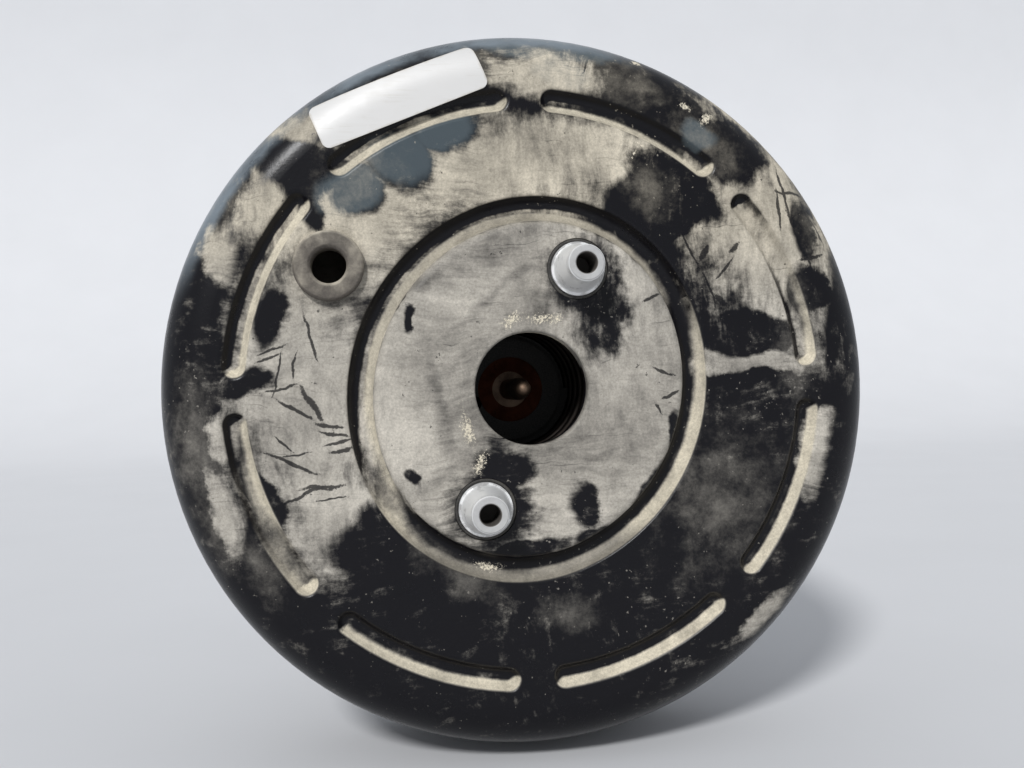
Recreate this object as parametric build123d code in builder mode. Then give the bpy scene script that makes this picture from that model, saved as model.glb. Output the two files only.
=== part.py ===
from build123d import *
from math import atan2, cos, degrees, hypot, radians, sin, tan
import os

# A single-diaphragm vacuum brake booster held together by two through bolts.
# All sizes are in millimetres. The booster's axis is Y: the master cylinder is at -Y, the
# pedal at +Y, and Y = 0 is the rear face that seats on the bulkhead. +Z is up.

# ---------------------------------------------------------------- overall layout
body_depth = 118.0  # front plateau to rear mounting face
rim_setback = 46.0  # rear mounting face to the seam of the two shells
contact_gap = 0.1  # between metal pieces that seat on each other
soft_gap = 0.3  # between rubber and its neighbours
running_gap = 0.06  # radial, between a shaft and its bush
cut_over = 2.0  # how far a cutting solid runs past the face it cuts

# ---------------------------------------------------------------- front shell
front_wall = 1.4
body_radius = 136.0
corner_radius = 17.5
plateau_rise = 3.3  # plateau above the ring that surrounds it
groove_half_length = 67.8  # centre line of the oval groove, along the line of the bolts
groove_half_width = 62.0  # centre line of the oval groove, across that line
groove_end_offset = 10.0  # oval's centre to the centres of its two end arcs
groove_bend = 4.8
groove_centre_rise = 0.6
groove_outer_round = 1.4
groove_inner_round = 3.0
bead_count = 8
bead_setback = 28.0  # outside of the body to the beads' centre line
bead_width = 9.4
bead_depth = 3.5
bead_gap = 12.0  # between the tips of neighbouring beads
bead_slope = 35.0  # of the bead's walls, from the axis
bead_floor_round = 3.0
bead_round = 2.0
hole_radius = 21.0
collar_length = 7.5
collar_round = 1.0
rim_step = 6.0  # how far the rim stands out from the body
rim_length = 5.6  # seam to the rear end of the front shell's rim
joggle_round = 3.0
lance_count = 12
lance_width = 14.0
lance_reach = 3.6

# ---------------------------------------------------------------- rear shell
rear_wall = 1.4
neck_radius = 27.0
neck_length = 22.0
mounting_face_radius = 64.0
step_radius = 71.0
step_depth = 6.0
rear_flange_width = 10.5  # outside of the rim to the rear shell's shoulder
shoulder_depth = 29.0
nut_pocket_radius = 12.0
nut_pocket_depth = 5.0
pocket_round = 1.2

# ---------------------------------------------------------------- through bolts
bolt_circle = 95.0
bolt_count = 2
bolt_angle = 67.5
spigot_height = 17.7  # tip above the plateau
spigot_radius = 6.6
spigot_chamfer = 0.6
spigot_cone_radius = 9.3
spigot_cone_height = 11.0
spigot_thread_radius = 3.75
spigot_thread_depth = 15.0
spigot_thread_chamfer = 0.5
bolt_flange_radius = 10.0
bolt_flange_thickness = 2.4
seat_pocket_radius = 11.5
seat_pocket_depth = 1.4
seat_seal_section = 1.1
bolt_shaft_radius = 5.0
bolt_shell_hole_radius = 5.4
bolt_collar_radius = 8.0
bolt_collar_thickness = 2.0
rear_seal_thickness = 1.5
bolt_nut_flats = 16.0
bolt_nut_height = 4.4
stud_radius = 4.0
stud_length = 30.0
stud_chamfer = 1.0

# ---------------------------------------------------------------- vacuum grommet
grommet_x = -72.9
grommet_z = 46.0
grommet_seat_radius = 13.5  # flat part of the shell round the grommet
grommet_flange_radius = 12.75
grommet_flange_height = 3.6
grommet_neck_radius = 9.3
grommet_inner_radius = 11.6
grommet_inner_height = 4.0
grommet_bore_radius = 6.4
grommet_mouth = 1.1
grommet_edge_round = 0.9

# ---------------------------------------------------------------- diaphragm and plate
plate_wall = 1.2
plate_step_radius = 70.0
plate_drop = 18.0  # how far the plate's rim lies in front of its hub
plate_skirt = 12.0
plate_hub_bend = 10.0
plate_rim_bend = 7.0
web_thickness = 1.8
loop_width = 9.8
loop_clearance = 2.0  # between the rolling loop and the rear shell's shoulder
loop_depth = 11.0
rim_bead_width = 5.3
rim_bead_clearance = 0.5  # between the bead and the inside of the rim
rim_bead_height = 3.4
bolt_sleeve_radius = 8.0
bolt_sleeve_length = 8.0
bolt_sleeve_overhang = 1.5
rest_gap = 1.2  # between the sleeves and the bolt collars at rest
diaphragm_bead_width = 4.7
diaphragm_bead_length = 6.0
diaphragm_ring_width = 3.4
diaphragm_ring_length = 2.0

# ---------------------------------------------------------------- valve body
hub_setback = 66.0  # plateau to the hub's front face
hub_radius = 36.0
hub_edge = 2.0
hub_neck_radius = 30.5
sleeve_radius = 19.0
sleeve_reach = 58.0  # rear end behind the mounting face
chamber_setback = 40.0  # hub front face to the floor of the valve chamber
chamber_radius = 14.0
valve_seat_inner = 9.6
valve_seat_outer = 11.0
valve_seat_height = 4.2
passage_radius = 3.0
passage_circle = 33.0
passage_angle = 200.0
passage_overrun = 3.0  # past the chamber floor, where the passage opens into the chamber
spring_recess_inner = 21.8
spring_recess_outer = 29.5
spring_recess_depth = 4.0
rod_ring_radius = 14.0
rod_ring_bore = 7.85
rod_ring_thickness = 2.0
disc_radius = 12.0
disc_thickness = 7.8
disc_gap = 1.8  # between the reaction disc and the plunger at rest

# ---------------------------------------------------------------- output rod
rod_foot_thickness = 5.6
output_rod_radius = 4.5
output_tip_setback = 20.3  # plateau to the tip of the rod
output_tip_radius = 3.0
output_tip_length = 9.0
output_cone_length = 6.0

# ---------------------------------------------------------------- plunger and stop key
plunger_radius = 6.0
plunger_groove_radius = 4.1
plunger_groove_setback = 6.5
plunger_groove_length = 6.5
plunger_flange_radius = 8.0
plunger_flange_thickness = 2.4
plunger_flange_lift = 2.6  # chamber floor to the front of the plunger's flange
ball_radius = 4.4
ball_depth = 6.0  # chamber floor to the ball's centre
plunger_mouth_radius = 4.0
key_thickness = 2.4
key_width = 14.0
key_overhang = 10.0
key_reach = 29.0
key_play = 0.4

# ---------------------------------------------------------------- poppet valve
poppet_bore = 6.2
poppet_radius = 13.2
poppet_lip = 2.0
poppet_wall = 1.3
poppet_length = 16.0
poppet_bead = 2.8
poppet_ring_bore = 9.4
poppet_ring_length = 4.0
poppet_spring_radius = 9.6
poppet_spring_wire = 0.55
poppet_spring_coils = 4

# ---------------------------------------------------------------- springs
return_spring_radius = 25.5
return_spring_wire = 1.7
return_spring_coils = 6
input_spring_radius = 9.2
input_spring_wire = 1.1
wire_sides = 8  # sides of each spring's wire
input_spring_length = 17.0
input_spring_coils = 4

# ---------------------------------------------------------------- input rod and clevis
input_neck_radius = 3.2
input_rod_radius = 4.5
input_shoulder_radius = 5.5
input_shoulder_length = 24.0
input_thread_radius = 5.0
input_neck_step = 1.0  # length of the cone down to the threaded end
input_thread_show = -1.0  # root of the fork to the end of the thread
seat_washer_radius = 11.0
seat_washer_thickness = 1.5
filter_bore_radius = 9.2
filter_front_gap = 3.0
filter_cap_thickness = 2.4
clevis_pin_setback = 130.0  # mounting face to the centre of the clevis holes
clevis_pin_radius = 5.0
clevis_ear_thickness = 5.0
clevis_gap = 9.4
clevis_ear_radius = 10.0
clevis_fork_depth = 17.0  # pin centre to the root of the fork
clevis_hub_length = 14.0
clevis_hub_radius = 9.0
clevis_root_wall = 4.0
lock_nut_flats = 17.0
lock_nut_height = 6.0

# ---------------------------------------------------------------- neck seal and dust boot
bearing_length = 9.0
seal_length = 6.0
seal_lip = 1.6
seal_ring_length = 2.2
boot_wall = 1.4
boot_bead_length = 7.0
boot_crest_radius = 35.0
boot_root_radius = 26.0
boot_folds = 5
boot_pitch = 7.6
boot_flat = 1.8  # width of the flat band along each crest and each root
boot_face_radius = 21.0
boot_cone_length = 12.0
boot_collar_length = 6.0
boot_lip_wall = 2.8
boot_lip_length = 3.0
boot_slot_count = 6
boot_slot_length = 7.0
boot_slot_width = 3.0
boot_slot_circle = 30.0

# ---------------------------------------------------------------- bends and tolerances
neck_bend = 2.5
face_bend = 5.0
step_bend = 6.0
shoulder_bend = 9.0
flange_bend = 1.8
rear_bends = [neck_bend, face_bend, step_bend, shoulder_bend, flange_bend]
flat_tolerance = 1e-3  # for choosing edges

# ---------------------------------------------------------------- derived radii
rim_radius = body_radius + rim_step
bead_circle = body_radius - bead_setback
flange_radius = rim_radius - front_wall - contact_gap
shoulder_radius = rim_radius - rear_flange_width
rim_bead_radius = rim_radius - front_wall - rim_bead_clearance
rim_bead_inner_radius = rim_bead_radius - rim_bead_width
loop_outer = shoulder_radius - rear_wall - loop_clearance
loop_inner = loop_outer - loop_width
plate_radius = loop_inner - soft_gap
diaphragm_bead_radius = hub_neck_radius + soft_gap + diaphragm_bead_width
diaphragm_ring_radius = hub_neck_radius + contact_gap + diaphragm_ring_width

# ---------------------------------------------------------------- derived places along Y
plateau_y = -body_depth
annulus_y = plateau_y + plateau_rise
seam_y = -rim_setback
pocket_floor_y = -nut_pocket_depth
pocket_inner_y = pocket_floor_y - rear_wall
bolt_collar_rear_y = pocket_inner_y - rear_seal_thickness - contact_gap
bolt_collar_front_y = bolt_collar_rear_y - bolt_collar_thickness
bolt_sleeve_rear_y = bolt_collar_front_y - rest_gap
diaphragm_rear_y = bolt_sleeve_rear_y - bolt_sleeve_overhang
diaphragm_front_y = diaphragm_rear_y - web_thickness
plate_rear_y = diaphragm_front_y - soft_gap
plate_front_y = plate_rear_y - plate_wall
hub_y = plateau_y + hub_setback
rod_foot_y = hub_y + rod_ring_thickness + contact_gap
disc_front_y = rod_foot_y + rod_foot_thickness + contact_gap
disc_rear_y = disc_front_y + disc_thickness
cavity_floor_y = disc_rear_y + contact_gap
chamber_y = hub_y + chamber_setback
ball_y = chamber_y - ball_depth
plunger_nose_y = disc_rear_y + disc_gap
plunger_groove_y = plunger_nose_y + plunger_groove_setback
plunger_groove_end_y = plunger_groove_y + plunger_groove_length
plunger_flange_y = chamber_y + plunger_flange_lift
plunger_rear_y = plunger_flange_y + plunger_flange_thickness
key_y = plunger_groove_y + (plunger_groove_length - key_thickness) / 2
poppet_y = plunger_rear_y + soft_gap
poppet_end_y = poppet_y + poppet_length
poppet_ring_end_y = poppet_end_y + soft_gap + poppet_ring_length
seat_washer_y = poppet_ring_end_y + input_spring_length
seat_washer_end_y = seat_washer_y + seat_washer_thickness
filter_y = seat_washer_end_y + filter_front_gap
filter_end_y = sleeve_reach - filter_cap_thickness - soft_gap
tip_y = plateau_y + output_tip_setback
bolt_seat_y = plateau_y + seat_pocket_depth
bolt_flange_y = bolt_seat_y - bolt_flange_thickness
spigot_tip_y = plateau_y - spigot_height
nut_front_y = pocket_floor_y + contact_gap
nut_rear_y = nut_front_y + bolt_nut_height
bearing_front_y = 0.0
bearing_rear_y = bearing_front_y + bearing_length
seal_front_y = bearing_rear_y + soft_gap
seal_rear_y = seal_front_y + seal_length
seal_ring_y = seal_rear_y + soft_gap
fork_root_y = clevis_pin_setback - clevis_fork_depth
clevis_hub_y = fork_root_y - clevis_hub_length
boot_bead_y = neck_length - boot_bead_length
boot_fold_y = neck_length
boot_cone_y = boot_fold_y + boot_folds * boot_pitch
boot_collar_y = boot_cone_y + boot_cone_length
boot_end_y = boot_collar_y + boot_collar_length

bolt_turns = [bolt_angle + 360 / bolt_count * number for number in range(bolt_count)]
bolt_spots = [
    (bolt_circle / 2 * cos(radians(turn)), bolt_circle / 2 * sin(radians(turn)))
    for turn in bolt_turns
]
bolt_places = [Location((x, 0, z)) for x, z in bolt_spots]


# ---------------------------------------------------------------- helpers
def facing_front(y, turn=0):
    """Plane at y whose normal is -Y, with Z up from the front, turned about the axis."""
    return Plane(origin=(0, y, 0), x_dir=(cos(radians(turn)), 0, sin(radians(turn))), z_dir=(0, -1, 0))


def half_section(*points):
    """Half section of a turned piece, from points of radius and Y."""
    with BuildSketch(Plane.XY) as section:
        with BuildLine():
            Polyline(*points, close=True)
        make_face()
    return section.sketch


def ring_section(inner_radius, outer_radius, front_y, rear_y):
    """Half section of a plain ring."""
    corners = [(inner_radius, front_y), (outer_radius, front_y), (outer_radius, rear_y)]
    return half_section(*corners, (inner_radius, rear_y))


def sheet_section(points, bends, thickness, side):
    """Half section of pressed sheet: a line with rounded bends, thickened on one side."""
    with BuildSketch(Plane.XY) as section:
        with BuildLine():
            FilletPolyline(*points, radius=bends)
            offset(amount=thickness, side=side)
        make_face()
    return section.sketch


def at_bolts(radius):
    """Circles at the through bolts, for the sketch being drawn."""
    with Locations(*bolt_spots):
        Circle(radius)


def coil(mean_radius, wire_radius, front_y, rear_y, coils):
    """Coil spring of many-sided wire that just fits between front_y and rear_y."""
    start_y = front_y + wire_radius + contact_gap
    span = rear_y - wire_radius - contact_gap - start_y
    with BuildPart() as spring:
        with BuildLine() as path:
            Helix(span / coils, span, mean_radius, center=(0, start_y, 0), direction=(0, 1, 0))
        with BuildSketch(Plane(origin=path.line @ 0, z_dir=path.line % 0)):
            RegularPolygon(wire_radius, wire_sides)
        sweep(path=path.line, is_frenet=True)
    return spring.part


def edges_at(part, y, inner_radius, outer_radius):
    """Edges that lie flat at y with their middles between two distances from the axis."""
    chosen = []
    for edge in part.edges():
        box = edge.bounding_box()
        middle = edge @ 0.5
        flat = abs(box.min.Y - y) < flat_tolerance and abs(box.max.Y - y) < flat_tolerance
        if flat and inner_radius < hypot(middle.X, middle.Z) < outer_radius:
            chosen.append(edge)
    return chosen


# ---------------------------------------------------------------- front shell
bend_share = tan(radians(45) / 2)  # a 45 degree bend moves its corner by this share of the wall
joggle_end_y = seam_y - rim_bead_height - 2 * soft_gap - front_wall * bend_share
joggle_start_y = joggle_end_y - (rim_radius - body_radius)
rim_end_y = seam_y + rim_length
ring_inner_radius = groove_half_length + groove_bend  # flat ring between the groove and the beads
ring_outer_radius = body_radius - corner_radius

# the oval's four tangent arcs: centre along and across the line of the bolts, radius, start, size
oval_excess = groove_end_offset - (groove_half_length - groove_half_width)
oval_side_offset = (groove_end_offset**2 - oval_excess**2) / (2 * oval_excess)
oval_end_radius = groove_half_length - groove_end_offset
oval_side_radius = groove_half_width + oval_side_offset
oval_join = degrees(atan2(oval_side_offset, groove_end_offset))
oval_arcs = [
    (groove_end_offset, 0, oval_end_radius, -oval_join, 2 * oval_join),
    (0, -oval_side_offset, oval_side_radius, oval_join, 180 - 2 * oval_join),
    (-groove_end_offset, 0, oval_end_radius, 180 - oval_join, 2 * oval_join),
    (0, oval_side_offset, oval_side_radius, 180 + oval_join, 180 - 2 * oval_join),
]


def press_groove(inset):
    """Solids of the oval groove, grown by inset, as four joined arcs of one round section."""
    places = facing_front(annulus_y - groove_centre_rise, bolt_angle)
    cutters = []
    for along, across, radius, start, size in oval_arcs:
        centre = places.from_local_coords(Vector(along, across, 0))
        step = Vector(radius * cos(radians(start)), radius * sin(radians(start)), 0)
        begin = places.from_local_coords(Vector(along, across, 0) + step)
        outward = begin - centre
        with BuildPart() as cutter:
            with BuildSketch(Plane(origin=begin, x_dir=outward, z_dir=outward.cross(places.z_dir))):
                Circle(groove_bend + inset)
            revolve(axis=Axis(centre, places.z_dir), revolution_arc=size)
        cutters.append(cutter.part)
    return cutters


def press_beads(inset):
    """Solids of the curved beads, grown by inset."""
    half_width = bead_width / 2 + inset * tan(radians(90 - bead_slope) / 2)
    half_gap = degrees((bead_gap + bead_width) / 2 / bead_circle)
    step = 360 / bead_count
    with BuildPart() as beads:
        with BuildSketch(facing_front(annulus_y + inset)):
            for number in range(bead_count):
                with BuildLine() as arc:
                    CenterArc((0, 0), bead_circle, number * step + half_gap, step - 2 * half_gap)
                SlotArc(arc.edges()[0], 2 * half_width)
        extrude(amount=-bead_depth, taper=bead_slope)
        floor_y = annulus_y + inset + bead_depth
        floor_edges = edges_at(beads.part, floor_y, ring_inner_radius, body_radius)
        fillet(floor_edges, radius=bead_floor_round + inset)
    return beads.part


def grommet_seat(inset):
    """Solid under the grommet's flat seat, moved inwards by inset. It keeps a bead from denting the seat."""
    with BuildPart() as seat:
        with BuildSketch(facing_front(annulus_y + inset)):
            with Locations((grommet_x, grommet_z)):
                Circle(grommet_seat_radius - inset)
        extrude(amount=-bead_depth)
    return seat.part


def shell_form(inset):
    """Solid inside the front shell's skin, with the skin moved inwards by inset."""
    shift = inset * bend_share
    with BuildPart() as form:
        with BuildSketch(Plane.XY):
            with BuildLine():
                skin_line = FilletPolyline(
                    (0, annulus_y + inset),
                    (body_radius - inset, annulus_y + inset),
                    (body_radius - inset, joggle_start_y + shift),
                    (rim_radius - inset, joggle_end_y + shift),
                    (rim_radius - inset, rim_end_y + inset),
                    radius=[corner_radius - inset, joggle_round, joggle_round - inset],
                )
                Polyline(skin_line @ 1, (0, rim_end_y + inset), skin_line @ 0)
            make_face()
        revolve(axis=Axis.Y)
        with BuildSketch(facing_front(annulus_y + inset, bolt_angle)):
            with BuildLine():
                for along, across, radius, start, size in oval_arcs:
                    CenterArc((along, across), radius, start, size)
            make_face()
        extrude(amount=plateau_rise)
        add(press_groove(inset), mode=Mode.SUBTRACT)
        add(press_beads(inset), mode=Mode.SUBTRACT)
    return form.part


with BuildPart() as front_shell:
    add(shell_form(0))
    groove_reach = ring_inner_radius + groove_bend
    bead_edges = edges_at(front_shell.part, annulus_y, groove_reach, ring_outer_radius - flat_tolerance)
    fillet(bead_edges, radius=bead_round)
    groove_edges = edges_at(front_shell.part, annulus_y, 0, groove_reach)
    fillet(groove_edges, radius=groove_outer_round)
    plateau_edges = edges_at(front_shell.part, plateau_y, 0, ring_inner_radius)
    fillet(plateau_edges, radius=groove_inner_round)
    add(grommet_seat(0))
    add(shell_form(front_wall), mode=Mode.SUBTRACT)
    add(grommet_seat(front_wall), mode=Mode.SUBTRACT)
    # collar drawn inwards round the central hole
    with BuildSketch(facing_front(plateau_y + front_wall)):
        Circle(hole_radius + front_wall)
    extrude(amount=front_wall - collar_length)
    # shallow round seats for the through bolts, pressed in from the front
    with BuildSketch(facing_front(plateau_y + front_wall)):
        at_bolts(seat_pocket_radius + front_wall)
    extrude(amount=-seat_pocket_depth)
    with BuildSketch(facing_front(plateau_y)):
        at_bolts(seat_pocket_radius)
    extrude(amount=-seat_pocket_depth, mode=Mode.SUBTRACT)
    # holes for the master cylinder, the through bolts and the vacuum grommet
    with BuildSketch(facing_front(plateau_y)):
        Circle(hole_radius)
        at_bolts(bolt_shell_hole_radius)
    extrude(amount=-collar_length - cut_over, mode=Mode.SUBTRACT)
    with BuildSketch(facing_front(annulus_y)):
        with Locations((grommet_x, grommet_z)):
            Circle(grommet_neck_radius + contact_gap)
    extrude(amount=-front_wall - cut_over, mode=Mode.SUBTRACT)
    fillet(edges_at(front_shell.part, plateau_y, 0, hole_radius + flat_tolerance), radius=collar_round)
    # lances: tongues of the rim bent in behind the rear shell's flange
    lance_front_y = seam_y + rear_wall + contact_gap
    with BuildSketch(facing_front(lance_front_y + front_wall)):
        with PolarLocations(rim_radius, lance_count):
            Rectangle(2 * lance_reach, lance_width)
    extrude(amount=-rim_length, mode=Mode.SUBTRACT)
    with BuildSketch(facing_front(lance_front_y)):
        with PolarLocations(rim_radius - lance_reach, lance_count):
            Rectangle(2 * lance_reach, lance_width)
        Circle(rim_radius - front_wall / 2, mode=Mode.INTERSECT)
        Circle(rim_radius - front_wall - lance_reach, mode=Mode.SUBTRACT)
    extrude(amount=-front_wall)
front_shell.part.label = "front_shell"

# ---------------------------------------------------------------- rear shell
rear_line = [
    (neck_radius, neck_length),
    (neck_radius, 0),
    (mounting_face_radius, 0),
    (step_radius, -step_depth),
    (shoulder_radius, -shoulder_depth),
    (shoulder_radius, seam_y + rear_wall),
    (flange_radius, seam_y + rear_wall),
]

with BuildPart() as rear_shell:
    revolve(sheet_section(rear_line, rear_bends, rear_wall, Side.RIGHT), axis=Axis.Y)
    # round pockets that sink the nuts of the through bolts below the mounting face
    with BuildSketch(facing_front(-rear_wall)):
        at_bolts(nut_pocket_radius + rear_wall)
    extrude(amount=nut_pocket_depth)
    with BuildSketch(facing_front(0)):
        at_bolts(nut_pocket_radius)
    extrude(amount=nut_pocket_depth, mode=Mode.SUBTRACT)
    pocket_reach = neck_radius + neck_bend + flat_tolerance
    pocket_rims = edges_at(rear_shell.part, 0, pocket_reach, mounting_face_radius - face_bend)
    fillet(pocket_rims, radius=pocket_round)
    with BuildSketch(facing_front(pocket_floor_y)):
        at_bolts(bolt_shaft_radius + contact_gap)
    extrude(amount=rear_wall + cut_over, mode=Mode.SUBTRACT)
rear_shell.part.label = "rear_shell"

# ---------------------------------------------------------------- vacuum grommet
with BuildPart() as vacuum_grommet:
    with BuildSketch(facing_front(annulus_y)):
        with Locations((grommet_x, grommet_z)):
            Circle(grommet_flange_radius)
    extrude(amount=grommet_flange_height)
    with BuildSketch(facing_front(annulus_y)):
        with Locations((grommet_x, grommet_z)):
            Circle(grommet_neck_radius)
    extrude(amount=-front_wall)
    with BuildSketch(facing_front(annulus_y + front_wall)):
        with Locations((grommet_x, grommet_z)):
            Circle(grommet_inner_radius)
    extrude(amount=-grommet_inner_height)
    with BuildSketch(facing_front(annulus_y - grommet_flange_height)):
        with Locations((grommet_x, grommet_z)):
            Circle(grommet_bore_radius)
    extrude(amount=-grommet_flange_height - front_wall - grommet_inner_height, mode=Mode.SUBTRACT)
    outer_face = vacuum_grommet.faces().sort_by(Axis.Y)[0]
    fillet(outer_face.outer_wire().edges(), radius=grommet_edge_round)
    mouth = vacuum_grommet.faces().sort_by(Axis.Y)[0].inner_wires()[0]
    chamfer(mouth.edges(), length=grommet_mouth)
vacuum_grommet.part.label = "vacuum_grommet"

# ---------------------------------------------------------------- through bolts
with BuildPart() as tie_bolt:
    bore = spigot_thread_radius
    revolve(
        half_section(
            (0, spigot_tip_y + spigot_thread_depth),
            (bore, spigot_tip_y + spigot_thread_depth),
            (bore, spigot_tip_y + spigot_thread_chamfer),
            (bore + spigot_thread_chamfer, spigot_tip_y),
            (spigot_radius - spigot_chamfer, spigot_tip_y),
            (spigot_radius, spigot_tip_y + spigot_chamfer),
            (spigot_radius, bolt_flange_y - spigot_cone_height),
            (spigot_cone_radius, bolt_flange_y),
            (bolt_flange_radius, bolt_flange_y),
            (bolt_flange_radius, bolt_seat_y),
            (bolt_shaft_radius, bolt_seat_y),
            (bolt_shaft_radius, bolt_collar_front_y),
            (bolt_collar_radius, bolt_collar_front_y),
            (bolt_collar_radius, bolt_collar_rear_y),
            (bolt_shaft_radius, bolt_collar_rear_y),
            (bolt_shaft_radius, nut_rear_y),
            (stud_radius, nut_rear_y),
            (stud_radius, stud_length - stud_chamfer),
            (stud_radius - stud_chamfer, stud_length),
            (0, stud_length),
        ),
        axis=Axis.Y,
    )

with BuildPart() as tie_bolts:
    with Locations(*bolt_places):
        add(tie_bolt.part)
tie_bolts.part.label = "tie_bolts"

with BuildPart() as tie_bolt_front_seals:
    with BuildSketch(facing_front(bolt_seat_y)):
        at_bolts(seat_pocket_radius - contact_gap)
        for spot in bolt_spots:
            with Locations(spot):
                Circle(bolt_flange_radius + contact_gap, mode=Mode.SUBTRACT)
    extrude(amount=seat_seal_section)
tie_bolt_front_seals.part.label = "tie_bolt_front_seals"

with BuildPart() as tie_bolt_rear_seals:
    with BuildSketch(facing_front(pocket_inner_y)):
        at_bolts(bolt_collar_radius)
        for spot in bolt_spots:
            with Locations(spot):
                Circle(bolt_shaft_radius + contact_gap, mode=Mode.SUBTRACT)
    extrude(amount=rear_seal_thickness)
tie_bolt_rear_seals.part.label = "tie_bolt_rear_seals"

with BuildPart() as tie_bolt_nuts:
    with BuildSketch(facing_front(nut_rear_y)):
        with Locations(*bolt_spots):
            RegularPolygon(bolt_nut_flats / 2, 6, major_radius=False)
        for spot in bolt_spots:
            with Locations(spot):
                Circle(bolt_shaft_radius + running_gap, mode=Mode.SUBTRACT)
    extrude(amount=bolt_nut_height)
tie_bolt_nuts.part.label = "tie_bolt_nuts"

with BuildPart() as tie_bolt_sleeves:
    with BuildSketch(facing_front(bolt_sleeve_rear_y)):
        at_bolts(bolt_sleeve_radius)
        for spot in bolt_spots:
            with Locations(spot):
                Circle(bolt_shaft_radius + running_gap, mode=Mode.SUBTRACT)
    extrude(amount=bolt_sleeve_length)
tie_bolt_sleeves.part.label = "tie_bolt_sleeves"

# ---------------------------------------------------------------- diaphragm and its plate
plate_line = [
    (hub_neck_radius + contact_gap, plate_rear_y),
    (plate_step_radius, plate_rear_y),
    (plate_radius, plate_rear_y - plate_drop),
    (plate_radius, plate_rear_y - plate_drop - plate_skirt),
]

with BuildPart() as diaphragm_plate:
    revolve(
        sheet_section(plate_line, [plate_hub_bend, plate_rim_bend], plate_wall, Side.RIGHT),
        axis=Axis.Y,
    )
    with BuildSketch(facing_front(plate_rear_y)):
        at_bolts(bolt_sleeve_radius + contact_gap)
    extrude(amount=plate_wall, both=True, mode=Mode.SUBTRACT)
diaphragm_plate.part.label = "diaphragm_plate"

loop_y = plate_rear_y - plate_drop - plate_skirt - loop_depth
web_line = [
    (hub_neck_radius + soft_gap, diaphragm_front_y),
    (plate_step_radius + soft_gap, diaphragm_front_y),
    (loop_inner, diaphragm_front_y - plate_drop),
    (loop_inner, loop_y),
    (loop_outer, loop_y),
    (loop_outer, seam_y - soft_gap - web_thickness),
    (rim_bead_inner_radius + web_thickness, seam_y - soft_gap - web_thickness),
]
loop_bend = (loop_width - contact_gap) / 2
web_bends = [plate_hub_bend, plate_rim_bend + web_thickness, loop_bend, loop_bend, web_thickness]

with BuildPart() as diaphragm:
    revolve(sheet_section(web_line, web_bends, web_thickness, Side.LEFT), axis=Axis.Y)
    revolve(
        ring_section(
            rim_bead_inner_radius,
            rim_bead_radius,
            seam_y - soft_gap - rim_bead_height,
            seam_y - soft_gap,
        ),
        axis=Axis.Y,
    )
    revolve(
        ring_section(
            hub_neck_radius + soft_gap,
            diaphragm_bead_radius,
            diaphragm_front_y,
            diaphragm_front_y + diaphragm_bead_length,
        ),
        axis=Axis.Y,
    )
    with BuildSketch(facing_front(diaphragm_rear_y + cut_over)):
        at_bolts(bolt_sleeve_radius + soft_gap)
    extrude(amount=web_thickness + 2 * cut_over, mode=Mode.SUBTRACT)
diaphragm.part.label = "diaphragm"

diaphragm_ring_y = diaphragm_front_y + diaphragm_bead_length + contact_gap
with BuildPart() as diaphragm_ring:
    revolve(
        ring_section(
            hub_neck_radius + contact_gap,
            diaphragm_ring_radius,
            diaphragm_ring_y,
            diaphragm_ring_y + diaphragm_ring_length,
        ),
        axis=Axis.Y,
    )
diaphragm_ring.part.label = "diaphragm_ring"

# ---------------------------------------------------------------- valve body
hub_neck_end_y = diaphragm_ring_y + diaphragm_ring_length

with BuildPart() as valve_body:
    revolve(
        half_section(
            (0, hub_y),
            (hub_radius - hub_edge, hub_y),
            (hub_radius, hub_y + hub_edge),
            (hub_radius, plate_front_y),
            (hub_neck_radius, plate_front_y),
            (hub_neck_radius, hub_neck_end_y),
            (sleeve_radius, hub_neck_end_y),
            (sleeve_radius, sleeve_reach),
            (0, sleeve_reach),
        ),
        axis=Axis.Y,
    )
    # stepped bore from the front: ring seat, reaction disc, plunger
    revolve(
        half_section(
            (0, hub_y),
            (rod_ring_radius + contact_gap, hub_y),
            (rod_ring_radius + contact_gap, rod_foot_y),
            (disc_radius + running_gap, rod_foot_y),
            (disc_radius + running_gap, cavity_floor_y),
            (plunger_radius + running_gap, cavity_floor_y),
            (plunger_radius + running_gap, chamber_y),
            (0, chamber_y),
        ),
        axis=Axis.Y,
        mode=Mode.SUBTRACT,
    )
    revolve(
        ring_section(spring_recess_inner, spring_recess_outer, hub_y, hub_y + spring_recess_depth),
        axis=Axis.Y,
        mode=Mode.SUBTRACT,
    )
    # valve chamber from the rear, with the raised vacuum seat on its floor
    revolve(
        half_section(
            (0, chamber_y),
            (valve_seat_inner, chamber_y),
            (valve_seat_inner, chamber_y + valve_seat_height),
            (valve_seat_outer, chamber_y + valve_seat_height),
            (valve_seat_outer, chamber_y),
            (chamber_radius, chamber_y),
            (chamber_radius, sleeve_reach),
            (0, sleeve_reach),
        ),
        axis=Axis.Y,
        mode=Mode.SUBTRACT,
    )
    # vacuum passage from the hub's face to the chamber
    with BuildSketch(facing_front(hub_y)):
        with PolarLocations(passage_circle / 2, 1, start_angle=passage_angle):
            Circle(passage_radius)
    extrude(amount=-chamber_setback - passage_overrun, mode=Mode.SUBTRACT)
    # cross slot of the stop key, open at the top of the hub
    with BuildSketch(facing_front(key_y + key_thickness + key_play)):
        with Locations((0, (hub_radius - key_overhang) / 2)):
            Rectangle(key_width + 2 * soft_gap, hub_radius + key_overhang + 2 * soft_gap)
    extrude(amount=key_thickness + 2 * key_play, mode=Mode.SUBTRACT)
valve_body.part.label = "valve_body"

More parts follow.
